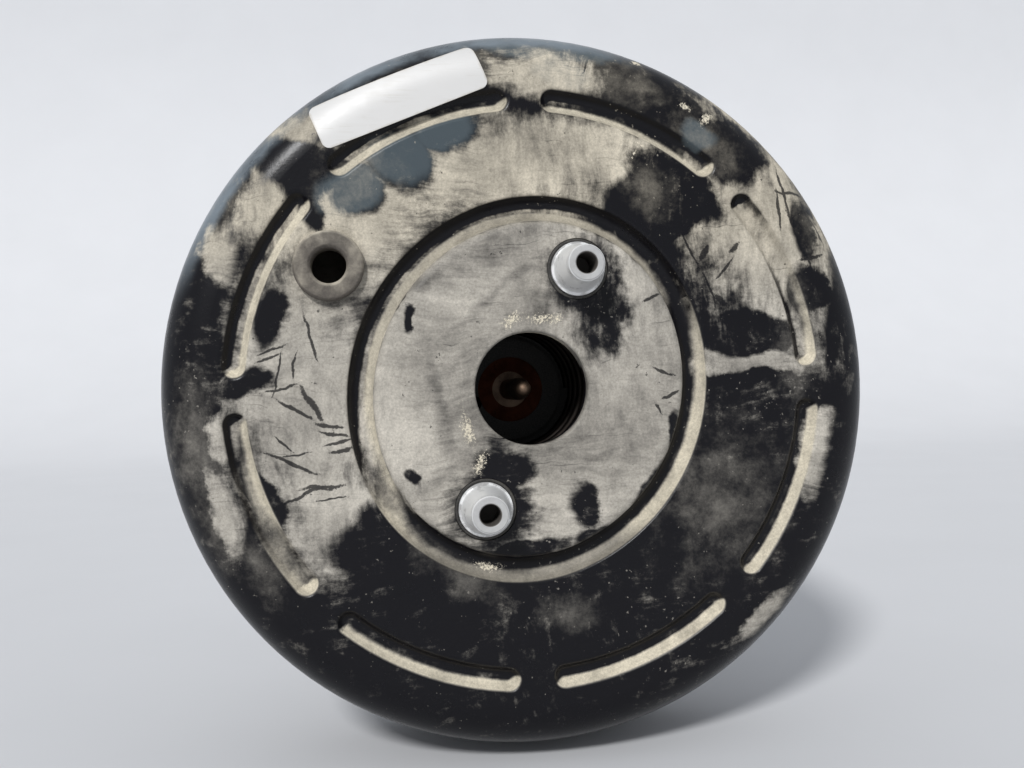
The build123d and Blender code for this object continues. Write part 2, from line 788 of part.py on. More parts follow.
# ---------------------------------------------------------------- output side
with BuildPart() as reaction_disc:
    revolve(ring_section(0, disc_radius, disc_front_y, disc_rear_y), axis=Axis.Y)
reaction_disc.part.label = "reaction_disc"

with BuildPart() as output_rod:
    revolve(
        half_section(
            (0, rod_foot_y + rod_foot_thickness),
            (disc_radius, rod_foot_y + rod_foot_thickness),
            (disc_radius, rod_foot_y),
            (output_rod_radius, rod_foot_y),
            (output_rod_radius, tip_y + output_tip_length + output_cone_length),
            (output_tip_radius, tip_y + output_tip_length),
            (output_tip_radius, tip_y + output_tip_radius),
            (0, tip_y + output_tip_radius),
        ),
        axis=Axis.Y,
    )
    with Locations((0, tip_y + output_tip_radius, 0)):
        Sphere(output_tip_radius)
output_rod.part.label = "output_rod"

with BuildPart() as output_rod_ring:
    revolve(
        ring_section(rod_ring_bore, rod_ring_radius, hub_y, hub_y + rod_ring_thickness),
        axis=Axis.Y,
    )
output_rod_ring.part.label = "output_rod_ring"

# ---------------------------------------------------------------- plunger and stop key
with BuildPart() as control_plunger:
    revolve(
        half_section(
            (0, plunger_nose_y),
            (plunger_radius, plunger_nose_y),
            (plunger_radius, plunger_groove_y),
            (plunger_groove_radius, plunger_groove_y),
            (plunger_groove_radius, plunger_groove_end_y),
            (plunger_radius, plunger_groove_end_y),
            (plunger_radius, plunger_flange_y),
            (plunger_flange_radius, plunger_flange_y),
            (plunger_flange_radius, plunger_rear_y),
            (ball_radius + running_gap, plunger_rear_y),
            (ball_radius + running_gap, plunger_flange_y),
            (plunger_mouth_radius, plunger_flange_y),
            (plunger_mouth_radius, ball_y),
            (0, ball_y),
        ),
        axis=Axis.Y,
    )
    with Locations((0, ball_y, 0)):
        Sphere(ball_radius + running_gap, mode=Mode.SUBTRACT)
control_plunger.part.label = "control_plunger"

with BuildPart() as stop_key:
    with BuildSketch(facing_front(key_y + key_thickness)):
        with Locations((0, (key_reach - key_overhang) / 2)):
            Rectangle(key_width, key_reach + key_overhang)
        with Locations((0, -key_overhang / 2)):
            Rectangle(2 * (plunger_groove_radius + soft_gap), key_overhang, mode=Mode.SUBTRACT)
        Circle(plunger_groove_radius + soft_gap, mode=Mode.SUBTRACT)
    extrude(amount=key_thickness)
stop_key.part.label = "stop_key"

# ---------------------------------------------------------------- poppet valve
poppet_bellows_radius = poppet_radius - poppet_wall
with BuildPart() as poppet_valve:
    revolve(
        half_section(
            (poppet_bore, poppet_y),
            (poppet_radius, poppet_y),
            (poppet_radius, poppet_end_y),
            (poppet_radius - poppet_bead, poppet_end_y),
            (poppet_radius - poppet_bead, poppet_end_y - poppet_bead),
            (poppet_bellows_radius, poppet_end_y - poppet_bead),
            (poppet_bellows_radius, poppet_y + poppet_lip),
            (poppet_bore, poppet_y + poppet_lip),
        ),
        axis=Axis.Y,
    )
poppet_valve.part.label = "poppet_valve"

with BuildPart() as poppet_retainer:
    revolve(
        ring_section(
            poppet_ring_bore,
            chamber_radius - contact_gap,
            poppet_end_y + soft_gap,
            poppet_ring_end_y,
        ),
        axis=Axis.Y,
    )
poppet_retainer.part.label = "poppet_retainer"

with BuildPart() as poppet_spring:
    add(
        coil(
            poppet_spring_radius,
            poppet_spring_wire,
            poppet_y + poppet_lip + soft_gap,
            poppet_end_y + soft_gap,
            poppet_spring_coils,
        )
    )
poppet_spring.part.label = "poppet_spring"

# ---------------------------------------------------------------- return springs
with BuildPart() as return_spring:
    add(
        coil(
            return_spring_radius,
            return_spring_wire,
            plateau_y + front_wall,
            hub_y + spring_recess_depth,
            return_spring_coils,
        )
    )
return_spring.part.label = "return_spring"

with BuildPart() as input_return_spring:
    add(
        coil(
            input_spring_radius,
            input_spring_wire,
            poppet_ring_end_y,
            seat_washer_y,
            input_spring_coils,
        )
    )
input_return_spring.part.label = "input_return_spring"

# ---------------------------------------------------------------- input rod, nut and clevis
with BuildPart() as input_rod:
    revolve(
        half_section(
            (0, ball_y),
            (input_neck_radius, ball_y),
            (input_neck_radius, poppet_y),
            (input_rod_radius, poppet_y + poppet_lip),
            (input_rod_radius, seat_washer_end_y),
            (input_shoulder_radius, seat_washer_end_y),
            (input_shoulder_radius, seat_washer_end_y + input_shoulder_length),
            (input_thread_radius, seat_washer_end_y + input_shoulder_length + input_neck_step),
            (input_thread_radius, fork_root_y + input_thread_show),
            (0, fork_root_y + input_thread_show),
        ),
        axis=Axis.Y,
    )
    with Locations((0, ball_y, 0)):
        Sphere(ball_radius)
input_rod.part.label = "input_rod"

with BuildPart() as spring_seat:
    revolve(
        ring_section(
            input_rod_radius + running_gap,
            seat_washer_radius,
            seat_washer_y,
            seat_washer_end_y,
        ),
        axis=Axis.Y,
    )
spring_seat.part.label = "spring_seat"

with BuildPart() as lock_nut:
    with BuildSketch(facing_front(clevis_hub_y - contact_gap)):
        RegularPolygon(lock_nut_flats / 2, 6, major_radius=False)
        Circle(input_thread_radius + running_gap, mode=Mode.SUBTRACT)
    extrude(amount=lock_nut_height)
lock_nut.part.label = "lock_nut"

clevis_half = clevis_gap / 2 + clevis_ear_thickness
with BuildPart() as clevis:
    # side view of the fork: round eye, straight cheeks, then the round hub
    with BuildSketch(Plane.YZ):
        with Locations((clevis_pin_setback, 0)):
            Circle(clevis_ear_radius)
        with Locations(((clevis_pin_setback + fork_root_y - clevis_root_wall) / 2, 0)):
            Rectangle(clevis_fork_depth + clevis_root_wall, 2 * clevis_ear_radius)
    extrude(amount=clevis_half, both=True)
    with BuildSketch(Plane.YZ):
        with Locations((clevis_pin_setback + clevis_ear_radius / 2, 0)):
            Rectangle(2 * clevis_fork_depth + clevis_ear_radius, 2 * clevis_ear_radius + 2 * cut_over)
    extrude(amount=clevis_gap / 2, both=True, mode=Mode.SUBTRACT)
    with BuildSketch(facing_front(fork_root_y - clevis_root_wall)):
        Circle(clevis_hub_radius)
    extrude(amount=clevis_hub_length - clevis_root_wall)
    with BuildSketch(facing_front(clevis_hub_y)):
        Circle(input_thread_radius + running_gap)
    extrude(amount=-clevis_hub_length - cut_over, mode=Mode.SUBTRACT)
    with BuildSketch(Plane.YZ):
        with Locations((clevis_pin_setback, 0)):
            Circle(clevis_pin_radius)
    extrude(amount=clevis_half + cut_over, both=True, mode=Mode.SUBTRACT)
clevis.part.label = "clevis"

# ---------------------------------------------------------------- air filter
with BuildPart() as air_filter:
    revolve(
        ring_section(filter_bore_radius, chamber_radius - soft_gap, filter_y, filter_end_y),
        axis=Axis.Y,
    )
air_filter.part.label = "air_filter"

with BuildPart() as filter_cap:
    revolve(
        ring_section(
            filter_bore_radius,
            chamber_radius - contact_gap,
            sleeve_reach - filter_cap_thickness,
            sleeve_reach,
        ),
        axis=Axis.Y,
    )
filter_cap.part.label = "filter_cap"

# ---------------------------------------------------------------- neck bearing and seal
neck_bore = neck_radius - rear_wall
with BuildPart() as guide_bearing:
    revolve(
        ring_section(
            sleeve_radius + running_gap,
            neck_bore - contact_gap,
            bearing_front_y,
            bearing_rear_y,
        ),
        axis=Axis.Y,
    )
guide_bearing.part.label = "guide_bearing"

with BuildPart() as rear_seal:
    revolve(
        half_section(
            (sleeve_radius + soft_gap, seal_front_y),
            (neck_bore - contact_gap, seal_front_y),
            (neck_bore - contact_gap, seal_rear_y),
            (neck_bore - contact_gap - seal_lip, seal_rear_y),
            (neck_bore - contact_gap - seal_lip, seal_front_y + seal_lip),
            (sleeve_radius + soft_gap + seal_lip, seal_front_y + seal_lip),
            (sleeve_radius + soft_gap + seal_lip, seal_rear_y),
            (sleeve_radius + soft_gap, seal_rear_y),
        ),
        axis=Axis.Y,
    )
rear_seal.part.label = "rear_seal"

with BuildPart() as seal_retainer:
    revolve(
        ring_section(
            sleeve_radius + seal_lip,
            neck_bore - contact_gap,
            seal_ring_y,
            seal_ring_y + seal_ring_length,
        ),
        axis=Axis.Y,
    )
seal_retainer.part.label = "seal_retainer"

# ---------------------------------------------------------------- dust boot
boot_neck_radius = neck_radius + soft_gap
boot_rod_radius = input_shoulder_radius + soft_gap
boot_line = [(boot_neck_radius + boot_wall, boot_bead_y), (boot_neck_radius + boot_wall, boot_fold_y)]
for fold in range(boot_folds):
    crest_y = boot_fold_y + (fold + 0.5) * boot_pitch
    root_y = crest_y + boot_pitch / 2
    boot_line.append((boot_crest_radius, crest_y - boot_flat / 2))
    boot_line.append((boot_crest_radius, crest_y + boot_flat / 2))
    boot_line.append((boot_root_radius, root_y - boot_flat / 2))
    boot_line.append((boot_root_radius, root_y + boot_flat / 2))
boot_line.append((boot_face_radius, boot_cone_y + boot_cone_length / 2))
boot_line.append((boot_rod_radius + boot_wall, boot_collar_y))
boot_line.append((boot_rod_radius + boot_wall, boot_end_y))

with BuildPart() as dust_boot:
    with BuildSketch(Plane.XY):
        with BuildLine():
            Polyline(*boot_line)
            offset(amount=boot_wall, side=Side.LEFT, kind=Kind.INTERSECTION)
        make_face()
    revolve(axis=Axis.Y)
    # thicker lips that grip the neck and the rod
    revolve(
        ring_section(
            boot_neck_radius,
            boot_neck_radius + boot_lip_wall,
            boot_bead_y,
            boot_bead_y + boot_lip_length,
        ),
        axis=Axis.Y,
    )
    revolve(
        ring_section(
            boot_rod_radius,
            boot_rod_radius + boot_lip_wall,
            boot_end_y - boot_lip_length,
            boot_end_y,
        ),
        axis=Axis.Y,
    )
    # breathing slots round the rear face
    with BuildSketch(facing_front(boot_end_y)):
        with PolarLocations(boot_slot_circle / 2, boot_slot_count):
            SlotOverall(boot_slot_length, boot_slot_width)
    extrude(amount=boot_collar_length + boot_cone_length, mode=Mode.SUBTRACT)
dust_boot.part.label = "dust_boot"

# ---------------------------------------------------------------- pieces to write
pieces = [
    front_shell,
    rear_shell,
    vacuum_grommet,
    tie_bolts,
    tie_bolt_front_seals,
    tie_bolt_rear_seals,
    tie_bolt_nuts,
    tie_bolt_sleeves,
    diaphragm_plate,
    diaphragm,
    diaphragm_ring,
    valve_body,
    reaction_disc,
    output_rod,
    output_rod_ring,
    control_plunger,
    stop_key,
    poppet_valve,
    poppet_retainer,
    poppet_spring,
    return_spring,
    input_return_spring,
    input_rod,
    spring_seat,
    lock_nut,
    clevis,
    air_filter,
    filter_cap,
    guide_bearing,
    rear_seal,
    seal_retainer,
    dust_boot,
]

os.makedirs("parts", exist_ok=True)
for piece in pieces:
    export_step(piece.part, f"parts/{piece.part.label}.step")
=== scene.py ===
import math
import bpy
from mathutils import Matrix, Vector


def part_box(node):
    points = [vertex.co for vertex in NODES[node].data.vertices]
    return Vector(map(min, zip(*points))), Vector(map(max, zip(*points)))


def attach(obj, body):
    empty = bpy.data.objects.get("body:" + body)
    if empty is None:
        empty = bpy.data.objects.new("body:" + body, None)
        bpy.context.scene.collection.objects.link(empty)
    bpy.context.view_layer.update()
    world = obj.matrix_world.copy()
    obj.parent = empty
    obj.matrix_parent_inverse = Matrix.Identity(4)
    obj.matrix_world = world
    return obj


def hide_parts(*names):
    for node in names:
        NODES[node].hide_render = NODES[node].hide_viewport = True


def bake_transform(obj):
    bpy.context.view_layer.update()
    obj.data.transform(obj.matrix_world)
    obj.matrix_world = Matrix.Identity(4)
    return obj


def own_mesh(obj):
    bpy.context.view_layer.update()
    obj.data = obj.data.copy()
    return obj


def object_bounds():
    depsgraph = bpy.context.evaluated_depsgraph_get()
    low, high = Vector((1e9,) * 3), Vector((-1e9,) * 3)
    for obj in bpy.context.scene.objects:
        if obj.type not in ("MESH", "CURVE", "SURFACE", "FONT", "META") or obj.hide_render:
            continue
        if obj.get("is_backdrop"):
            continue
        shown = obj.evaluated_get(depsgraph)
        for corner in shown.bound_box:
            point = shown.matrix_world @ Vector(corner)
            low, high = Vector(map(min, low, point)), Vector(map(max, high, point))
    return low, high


bl_info = {
    "name": "Brake Booster",
    "version": (1, 0, 0),
    "blender": (4, 5, 0),
    "location": "View3D > Sidebar > Booster",
    "description": "Finishes, springs, boot, label and stage for a vacuum brake booster",
    "category": "Object",
}

from collections import namedtuple

import bpy
from bpy.props import FloatProperty, FloatVectorProperty, IntProperty, PointerProperty
from mathutils import Euler, Vector

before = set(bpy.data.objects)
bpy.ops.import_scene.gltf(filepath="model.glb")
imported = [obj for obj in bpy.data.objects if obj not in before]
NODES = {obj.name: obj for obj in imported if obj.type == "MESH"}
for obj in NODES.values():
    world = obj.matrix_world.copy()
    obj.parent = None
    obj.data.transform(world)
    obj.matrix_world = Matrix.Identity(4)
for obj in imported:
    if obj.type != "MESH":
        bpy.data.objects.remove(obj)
MM = 0.001  # one millimetre, in the frame's metres
BOLT_X, BOLT_Z = 0.0181775, 0.0438843  # one bolt's axis; the other lies opposite
FACE_Y = -114.7  # the front shell's flat ring, in mm
WALL = 1.4  # of the shells, in mm
LABEL_X, LABEL_Z = -0.0462, 0.1084  # the label's middle
LABEL_TURN = math.radians(22.0)
GROOVE_TURN = math.radians(67.5)  # of the oval groove's long axis
GROOVE_LONG, GROOVE_SHORT = 67.8, 62.0  # half sizes of its centre line, in mm
BEAD_MIDDLE, BEAD_HALF = 108, 5  # radius at the middle of the beads, and half their width, in mm
LIGHT_FROM = (-0.50, 0.0, 0.86)  # pressed walls that face this way are painted pale, partly as dust and partly as highlight; those facing away are painted bare, partly as shade


# ------------ shader expressions
class Value:
    """A node socket that can be used in arithmetic. Each step adds one Math node."""

    def __init__(self, finish, socket):
        self.finish = finish
        self.socket = socket

    def maths(self, operation, *others, clamp=False):
        settings = {"operation": operation, "use_clamp": clamp}
        return self.finish.node("Math", settings, dict(enumerate((self, *others))))

    def __add__(self, other):
        return self.maths("ADD", other)

    def __sub__(self, other):
        return self.maths("SUBTRACT", other)

    def __mul__(self, other):
        return self.maths("MULTIPLY", other)

    def __truediv__(self, other):
        return self.maths("DIVIDE", other)

    def __rsub__(self, other):
        return self.finish.node("Math", {"operation": "SUBTRACT"}, {0: other, 1: self})

    __radd__ = __add__
    __rmul__ = __mul__

    def scaled(self, factor, offset):
        """self * factor + offset, in one node."""
        return self.maths("MULTIPLY_ADD", factor, offset)

    def clamped(self):
        return self.maths("ADD", 0.0, clamp=True)

    def larger(self, other):
        return self.maths("MAXIMUM", other)

    def step(self, low, high):
        """0 below low and 1 above high, with a smooth turn between them."""
        settings = {"interpolation_type": "SMOOTHSTEP"}
        inputs = {"Value": self, "From Min": low, "From Max": high}
        return self.finish.node("MapRange", settings, inputs)


class Finish:
    """A node material whose patterns are written as expressions."""

    def __init__(self, name):
        self.material = bpy.data.materials.new(name)
        self.material.use_nodes = True
        self.tree = self.material.node_tree
        self.tree.nodes.clear()
        coordinates = self.tree.nodes.new("ShaderNodeTexCoord")
        self.place = Value(self, coordinates.outputs["Object"])
        self.facing = Value(self, coordinates.outputs["Normal"])

    def node(self, kind, settings, inputs, output=0):
        """Adds one node: its type, its settings, then the values or links of its sockets."""
        made = self.tree.nodes.new("ShaderNode" + kind)
        for name, setting in settings.items():
            setattr(made, name, setting)
        for key, given in inputs.items():
            if isinstance(given, Value):
                self.tree.links.new(given.socket, made.inputs[key])
            else:
                made.inputs[key].default_value = given
        return Value(self, made.outputs[output])

    def axes(self, vector):
        """The X, Y and Z of a vector, as three values."""
        return [self.node("SeparateXYZ", {}, {0: vector}, axis) for axis in range(3)]

    def noise(self, scale, detail=4.0, roughness=0.55, place=None, output=0):
        """Noise from 0 to 1 whose features are about 1 / scale metres across."""
        inputs = {
            "Vector": place or self.place,
            "Scale": scale,
            "Detail": detail,
            "Roughness": roughness,
        }
        return self.node("TexNoise", {}, inputs, output)

    def times(self, vector, factor):
        """A vector or colour times a number."""
        return self.node("VectorMath", {"operation": "SCALE"}, {0: vector, "Scale": factor})

    def placed(self, place, centre_x, centre_z, turn, scale=(1.0, 1.0, 1.0)):
        """A place measured from a centre on the front face, along turned and scaled axes."""
        inputs = {
            "Vector": place,
            "Location": (centre_x, 0.0, centre_z),
            "Rotation": (0.0, turn, 0.0),
            "Scale": scale,
        }
        return self.node("Mapping", {"vector_type": "TEXTURE"}, inputs)

    def stretched(self, place, scale, turn=(0.0, 0.0, 0.0)):
        """A place turned and then scaled, so that a pattern becomes streaks."""
        return self.node("Mapping", {}, {"Vector": place, "Rotation": turn, "Scale": scale})

    def warped(self, scale, reach, detail=3.0):
        """The place pushed about by noise, by up to half of reach metres each way."""
        push = self.noise(scale, detail, output=1)
        centred = self.node("VectorMath", {"operation": "SUBTRACT"}, {0: push, 1: (0.5, 0.5, 0.5)})
        return self.node("VectorMath", {"operation": "ADD"}, {0: self.place, 1: self.times(centred, reach)})

    def blended(self, share, first, second):
        """Colour that goes from first to second as share goes from 0 to 1."""
        first, second = (end if isinstance(end, Value) else (*end, 1.0) for end in (first, second))
        return self.node("Mix", {"data_type": "RGBA"}, {0: share, 6: first, 7: second}, 2)

    def bumped(self, height, distance):
        return self.node("Bump", {}, {"Height": height, "Distance": distance})

    def surface(self, **sockets):
        """Ends the material in a Principled shader with these sockets."""
        names = {key: key.replace("_", " ").title() for key in sockets}
        names["specular"] = "Specular IOR Level"
        shader = self.node("BsdfPrincipled", {}, {names[key]: given for key, given in sockets.items()})
        output = self.tree.nodes.new("ShaderNodeOutputMaterial")
        self.tree.links.new(shader.socket, output.inputs["Surface"])
        return self.material


# ------------ finishes
SPREAD = 1.35  # an oval's fade ends this many times its half sizes from its centre
DEEP = 1000.0  # its half size in depth, so large that depth hardly counts


def patches(place, spots):
    """Turned ovals that fade from 1 at the centre to 0, as the lists below give them."""
    strongest = None
    for centre_x, centre_z, half_x, half_z, turn in spots:
        scale = (half_x * SPREAD, DEEP, half_z * SPREAD)
        local = place.finish.placed(place, centre_x, centre_z, math.radians(-turn), scale)
        fade = place.finish.node("TexGradient", {"gradient_type": "SPHERICAL"}, {0: local}, 1)
        strongest = fade if strongest is None else strongest.larger(fade)
    return strongest


# ovals on the front shell, in mm: centre across and up, half sizes, and turn in degrees
DUSTY = (
    (-84, 95, 12, 9, 40), (-114, -42, 8, 16, 22), (-12, 84, 58, 20, 0), (-66, 62, 30, 30, 0),
    (20, 88, 44, 14, -12), (8, 117, 24, 9, -6), (92, 60, 50, 30, -60), (84, 7, 26, 5, 0),
    (111, -26, 5, 20, -12), (-82, -2, 30, 56, 8), (-92, 74, 24, 10, 52), (-112, 50, 7, 12, 0),
    (-112, -14, 6, 10, 14), (-74, -46, 20, 22, 0), (84, 104, 16, 4, -42), (88, -91, 16, 4, 42),
)
RUBBED = (
    (-72, 80, 9, 6, 0), (-62, 72, 9, 9, 0), (-45, 85, 11, 10, 0), (-28, 95, 11, 6, 15),
    (-83, 80, 14, 9, -50), (-77, 66, 5, 9, 20), (43, 68, 10, 14, -10), (58, 76, 20, 8, -32),
    (56, 63, 12, 6, 20), (54, 104, 20, 9, -35), (80, 88, 11, 14, 45), (86, 18, 15, 8, 4),
    (94, -6, 36, 6, 2), (70, -10, 9, 11, 0), (73, -32, 14, 8, -8), (-94, 27, 5, 10, -12),
    (-103, 4, 9, 5, 20), (-60, -54, 14, 11, 20), (-126, 22, 12, 34, 6), (-123, -38, 6, 24, 18),
    (-98, -38, 4, 11, 30), (110, 36, 10, 7, -70), (108, 58, 5, 12, 10), (127, 6, 8, 36, 6),
    (82, -2, 30, 5, 0),
)
HAZY = (
    (2, 122, 52, 12, 0), (70, 92, 26, 12, -38), (48, 110, 10, 6, -30), (46, 73, 11, 12, 0),
    (-104, 72, 22, 14, 50), (-116, -30, 12, 40, 14), (-102, -58, 8, 26, 34), (72, -46, 34, 30, 50),
    (104, 20, 10, 26, 0), (-62, 78, 20, 18, 0), (14, -84, 13, 8, 0), (-30, -66, 22, 8, -38),
    (20, 116, 40, 12, -12), (118, 60, 12, 26, 24),
)
PRINTS = (
    (21, 40, 18, 16, -30), (27, 26, 13, 17, -15), (-16, -44, 19, 17, 0), (-11, -29, 13, 10, -20),
    (-6, -60, 22, 5, 8), (19, -45, 6, 11, 12), (22, -56, 9, 4, 20), (47, -34, 13, 3.5, 55),
    (54, -18, 8, 2.5, 72), (-44, 27, 1.8, 6, -6), (-48, 33, 1.3, 5, -40), (-44, -31, 5, 2.6, -45),
)
SMEARS = (
    (0, 0, 34, 34, 0), (4, 36, 14, 10, 20), (84, 5, 30, 9, 0), (8, 92, 20, 9, -38),
    (18, 76, 5, 18, 22), (23, 79, 9, 9, 0), (50, 8, 20, 34, 10), (2, 27, 18, 10, 25),
    (34, -10, 4, 26, -12), (24, -26, 18, 4, 25), (-14, 34, 26, 2.5, 40), (-2, -22, 20, 9, -30),
    (-34, -6, 3, 24, 10), (-38, 40, 20, 4, 42), (44, 14, 12, 22, 20), (36, -22, 16, 12, 0),
    (-10, 52, 34, 7, 24), (-30, -30, 20, 3, 30),
)
SCRATCHES = (
    (-92, 8, 10, 0.5, 78), (-86, 10, 6, 0.5, 80), (-91, 2, 7, 0.6, 12), (-86, -6, 9, 0.7, -31),
    (-90, -18, 5, 0.5, -42), (-86, -22, 6, 0.4, 8), (-88, -25, 12, 0.8, -24), (-85, -37, 10, 0.7, 24),
    (-77, -34, 9, 0.9, 3), (-74, -38, 6, 0.5, 9), (-80, 20, 10, 0.6, -76), (-80, -4, 9, 1.3, -58),
    (-74, -12, 6, 0.8, -8), (-72, -15, 6, 0.7, -12), (-71, -18, 6, 0.6, 10), (-70, -21, 5, 0.8, 14),
    (-94, 16, 6, 0.5, 22), (-95, 13, 6, 0.5, 20), (101, 72, 14, 0.7, -78), (106, 55, 15, 0.8, -68),
    (98, 66, 9, 0.6, -86), (103, 73, 7, 0.7, -5), (111, 48, 6, 0.8, 14), (114, 60, 8, 0.5, -60),
    (76, 44, 6, 0.5, 52), (68, 50, 4, 1.2, 60), (80, 52, 3, 1.0, 50), (62, 52, 9, 0.5, -60),
    (70, 36, 8, 0.5, -70), (74, 32, 4, 1.2, -40), (50, 5, 5, 0.6, -22), (52, -4, 4, 0.7, 28),
    (48, -9, 3, 0.6, -60), (46, 33, 4, 0.8, 28), (24, 121, 4, 0.5, 70),
)
# ovals where clean paint gets a painted reflection of the sky
SKY_REFLECTING = (
    (-64, 74, 12, 9, 20), (-46, 86, 12, 10, 0), (-30, 96, 13, 7, 12), (14, 118, 11, 5, -10),
    (67, 95, 8, 5, -20), (10, 128, 26, 6, -6),
)
CRUSTED = (
    (5, 26, 10, 3, 0), (-7, 25, 5, 3, 30), (-24, -14, 3, 10, 14), (-20, -28, 3, 6, -20),
    (-17, -66, 8, 2.5, -10), (42, 88, 4, 0.7, 60), (45, 91, 3, 0.7, -30), (70, 101, 5, 2.5, 30),
    (62, 106, 4, 2, -40), (45, 124, 3, 1.6, 0),
)
SETTLED = (
    (-94, -46, 16, 40, 23), (-54, -41, 14, 16, 0),
)


def dusty_paint(tints):
    """Gloss black paint under road dust that has been rubbed off in patches."""
    finish = Finish("DustyBlackPaint")
    ragged = finish.times(finish.warped(60.0, 0.012, 7.0), 1 / MM)
    steady = finish.times(finish.warped(150.0, 0.0034, 5.0), 1 / MM)
    across, depth, up = finish.axes(steady)
    radius = across.maths("MULTIPLY_ADD", across, up * up).maths("SQRT")

    # distance in the oval groove's own measure: 1 on its centre line
    cosine, sine = math.cos(GROOVE_TURN), math.sin(GROOVE_TURN)
    long_way = across.scaled(cosine / GROOVE_LONG, up * (sine / GROOVE_LONG))
    short_way = across.scaled(-sine / GROOVE_SHORT, up * (cosine / GROOVE_SHORT))
    oval = long_way.maths("MULTIPLY_ADD", long_way, short_way * short_way).maths("SQRT")
    plateau = 1 - oval.step(0.90, 0.95)

    # inside the pressed grooves and beads, and how far towards their outer lip, from -1 to 1
    _, exact_depth, _ = finish.axes(finish.place)
    pressed = exact_depth.step(-0.11455, -0.1138) * (1 - radius.step(116.5, 118.0))
    on_beads = radius.step(86.0, 90.0)
    groove_half = 0.085
    in_groove = (oval - 1) * (1 / groove_half)
    outwards = in_groove + ((radius - BEAD_MIDDLE) * (1 / BEAD_HALF) - in_groove) * on_beads

    # grain of the dust at several sizes, and streaks two ways
    grime = finish.noise(120.0, 9.0, 0.72)
    cloud = finish.noise(22.0, 6.0, 0.65)
    fine = finish.noise(1100.0, 4.0, 0.8)
    wavy = finish.warped(14.0, 0.03, 4.0)
    level_streaks = finish.noise(1.0, 7.0, 0.7, finish.stretched(wavy, (50, 60, 330), (0, 0.25, 0)))
    steep_streaks = finish.noise(1.0, 7.0, 0.7, finish.stretched(wavy, (300, 60, 60), (0, 0.6, 0)))
    steep_share = finish.noise(9.0, 2.0).step(0.42, 0.58)
    streaks = level_streaks + (steep_streaks - level_streaks) * steep_share
    ragged_edge = (grime - 0.5) * 2.3 + (streaks - 0.5) * 1.6 + (cloud - 0.5) * 0.8
    strokes = finish.noise(1.0, 5.0, 0.6, finish.stretched(wavy, (30, 60, 1300), (0, -0.42, 0)))

    # painted light: walls that face the light are painted pale, partly as dust and partly as highlight, and
    # the others are painted bare black, partly as wiped paint and partly as shade
    lit = finish.node("VectorMath", {"operation": "DOT_PRODUCT"}, {0: finish.facing, 1: LIGHT_FROM}, 1)
    # less of the pale dust and painted highlight on the groove's upper and lower walls
    pale_wall_share = 1 - (1 - on_beads) * (up.step(-10.0, 50.0) * 0.35 + (-1.0 * up).step(48.0, 62.0) * 0.5)
    # the pale and bare bands also shift across each groove and bead towards its side that faces the light,
    # as painted highlight and shade
    light_facing = lit - outwards * (across * LIGHT_FROM[0] + up * LIGHT_FROM[2]) / radius * 0.22
    upper_right_lift = (-1.0 * outwards).clamped() * across.step(10.0, 45.0) * up.step(12.0, 34.0)
    light_facing = light_facing + upper_right_lift * (1 - on_beads) * 0.35 + ragged_edge * 0.12
    light_facing = light_facing + (patches(steady, SETTLED) * 1.6).clamped() * 0.17
    pale_wall_dust_and_highlight = light_facing.step(0.02, 0.34) * pressed * pale_wall_share
    bare_wall_and_shade = (-1.0 * light_facing).step(0.0, 0.16) * pressed

    # how much of the paint is covered
    ring = patches(ragged, DUSTY) - patches(ragged, RUBBED) * 1.5
    prints = patches(ragged, PRINTS)
    smears = patches(ragged, SMEARS)
    centre = plateau * (0.9 - prints * 1.7)
    haze = patches(ragged, HAZY) * 0.34
    front = 1 - depth.step(-100.0, -84.0)
    thick = (ring.larger(centre) + ragged_edge * 0.45).step(0.05, 0.62)
    # painted reflection: a pale band along the upper-left rim, where the dust film is kept thin
    rim_reflection = radius.step(127.0, 131.0) * (up - across * 0.5).step(95.0, 125.0)
    thin = (haze + (grime - 0.5) * 0.8 + (cloud - 0.5) * 0.4).step(0.06, 0.62) * 0.40 * (1 - rim_reflection)
    scratched = (patches(steady, SCRATCHES) + (fine - 0.5) * 1.2).step(0.24, 0.44)
    crusted = (patches(steady, CRUSTED) + (fine - 0.5) * 2.4 + (grime - 0.5)).step(0.50, 0.80)
    chips = (finish.noise(420.0, 3.0, 0.6) + (grime - 0.5) * 0.5).step(0.70, 0.76)
    density = cloud.step(0.3, 0.72) * 0.34 + streaks.step(0.34, 0.64) * 0.24 + grime.scaled(0.9, 0.06)
    density = density - smears * 0.42 - strokes.step(0.60, 0.72) * 0.35
    cover = thick * density.clamped() * (1 - bare_wall_and_shade) * (1 - scratched * 0.88) * (1 - chips * 0.75)
    cover = cover.larger(thin * (1 - bare_wall_and_shade)) * front
    # pale dust and painted highlight on walls that face the light
    cover = cover.larger(pale_wall_dust_and_highlight * grime.scaled(1.6, 0.08).clamped())
    speck = (finish.noise(700.0, 2.0, 0.5) + (cloud - 0.5) * 0.3).step(0.72, 0.76) * 0.35
    film = cover.larger(speck).larger(crusted).clamped()

    warm = up.step(15.0, 70.0) * (1 - plateau)
    dust_tone = finish.blended(warm, tints.grey_dust, tints.dust)
    # the pale tone: dust on the crusts, and painted highlight on walls that face the light
    dust_tone = finish.blended(pale_wall_dust_and_highlight.larger(crusted), dust_tone, tints.pale_dust_and_highlight)
    shade = fine.scaled(1.2, 0.4) * cloud.scaled(0.6, 0.7)
    # painted reflection: clean paint tinted teal as if it mirrored the sky
    sky_reflection = patches(ragged, SKY_REFLECTING).step(0.1, 0.45)
    paint = finish.blended(sky_reflection * front, tints.paint, tints.painted_sky_reflection)
    # the painted reflection on the upper rim
    paint = finish.blended(rim_reflection * front * cloud.step(0.2, 0.6), paint, tints.painted_rim_reflection)
    tone = finish.blended(film, paint, finish.times(dust_tone, shade))
    relief = finish.bumped(grime + fine * 0.3, 0.00010)
    return finish.surface(
        base_color=tone,
        roughness=film.scaled(0.6, 0.24) + cloud * 0.08,
        normal=relief,
        specular=0.22,
    )


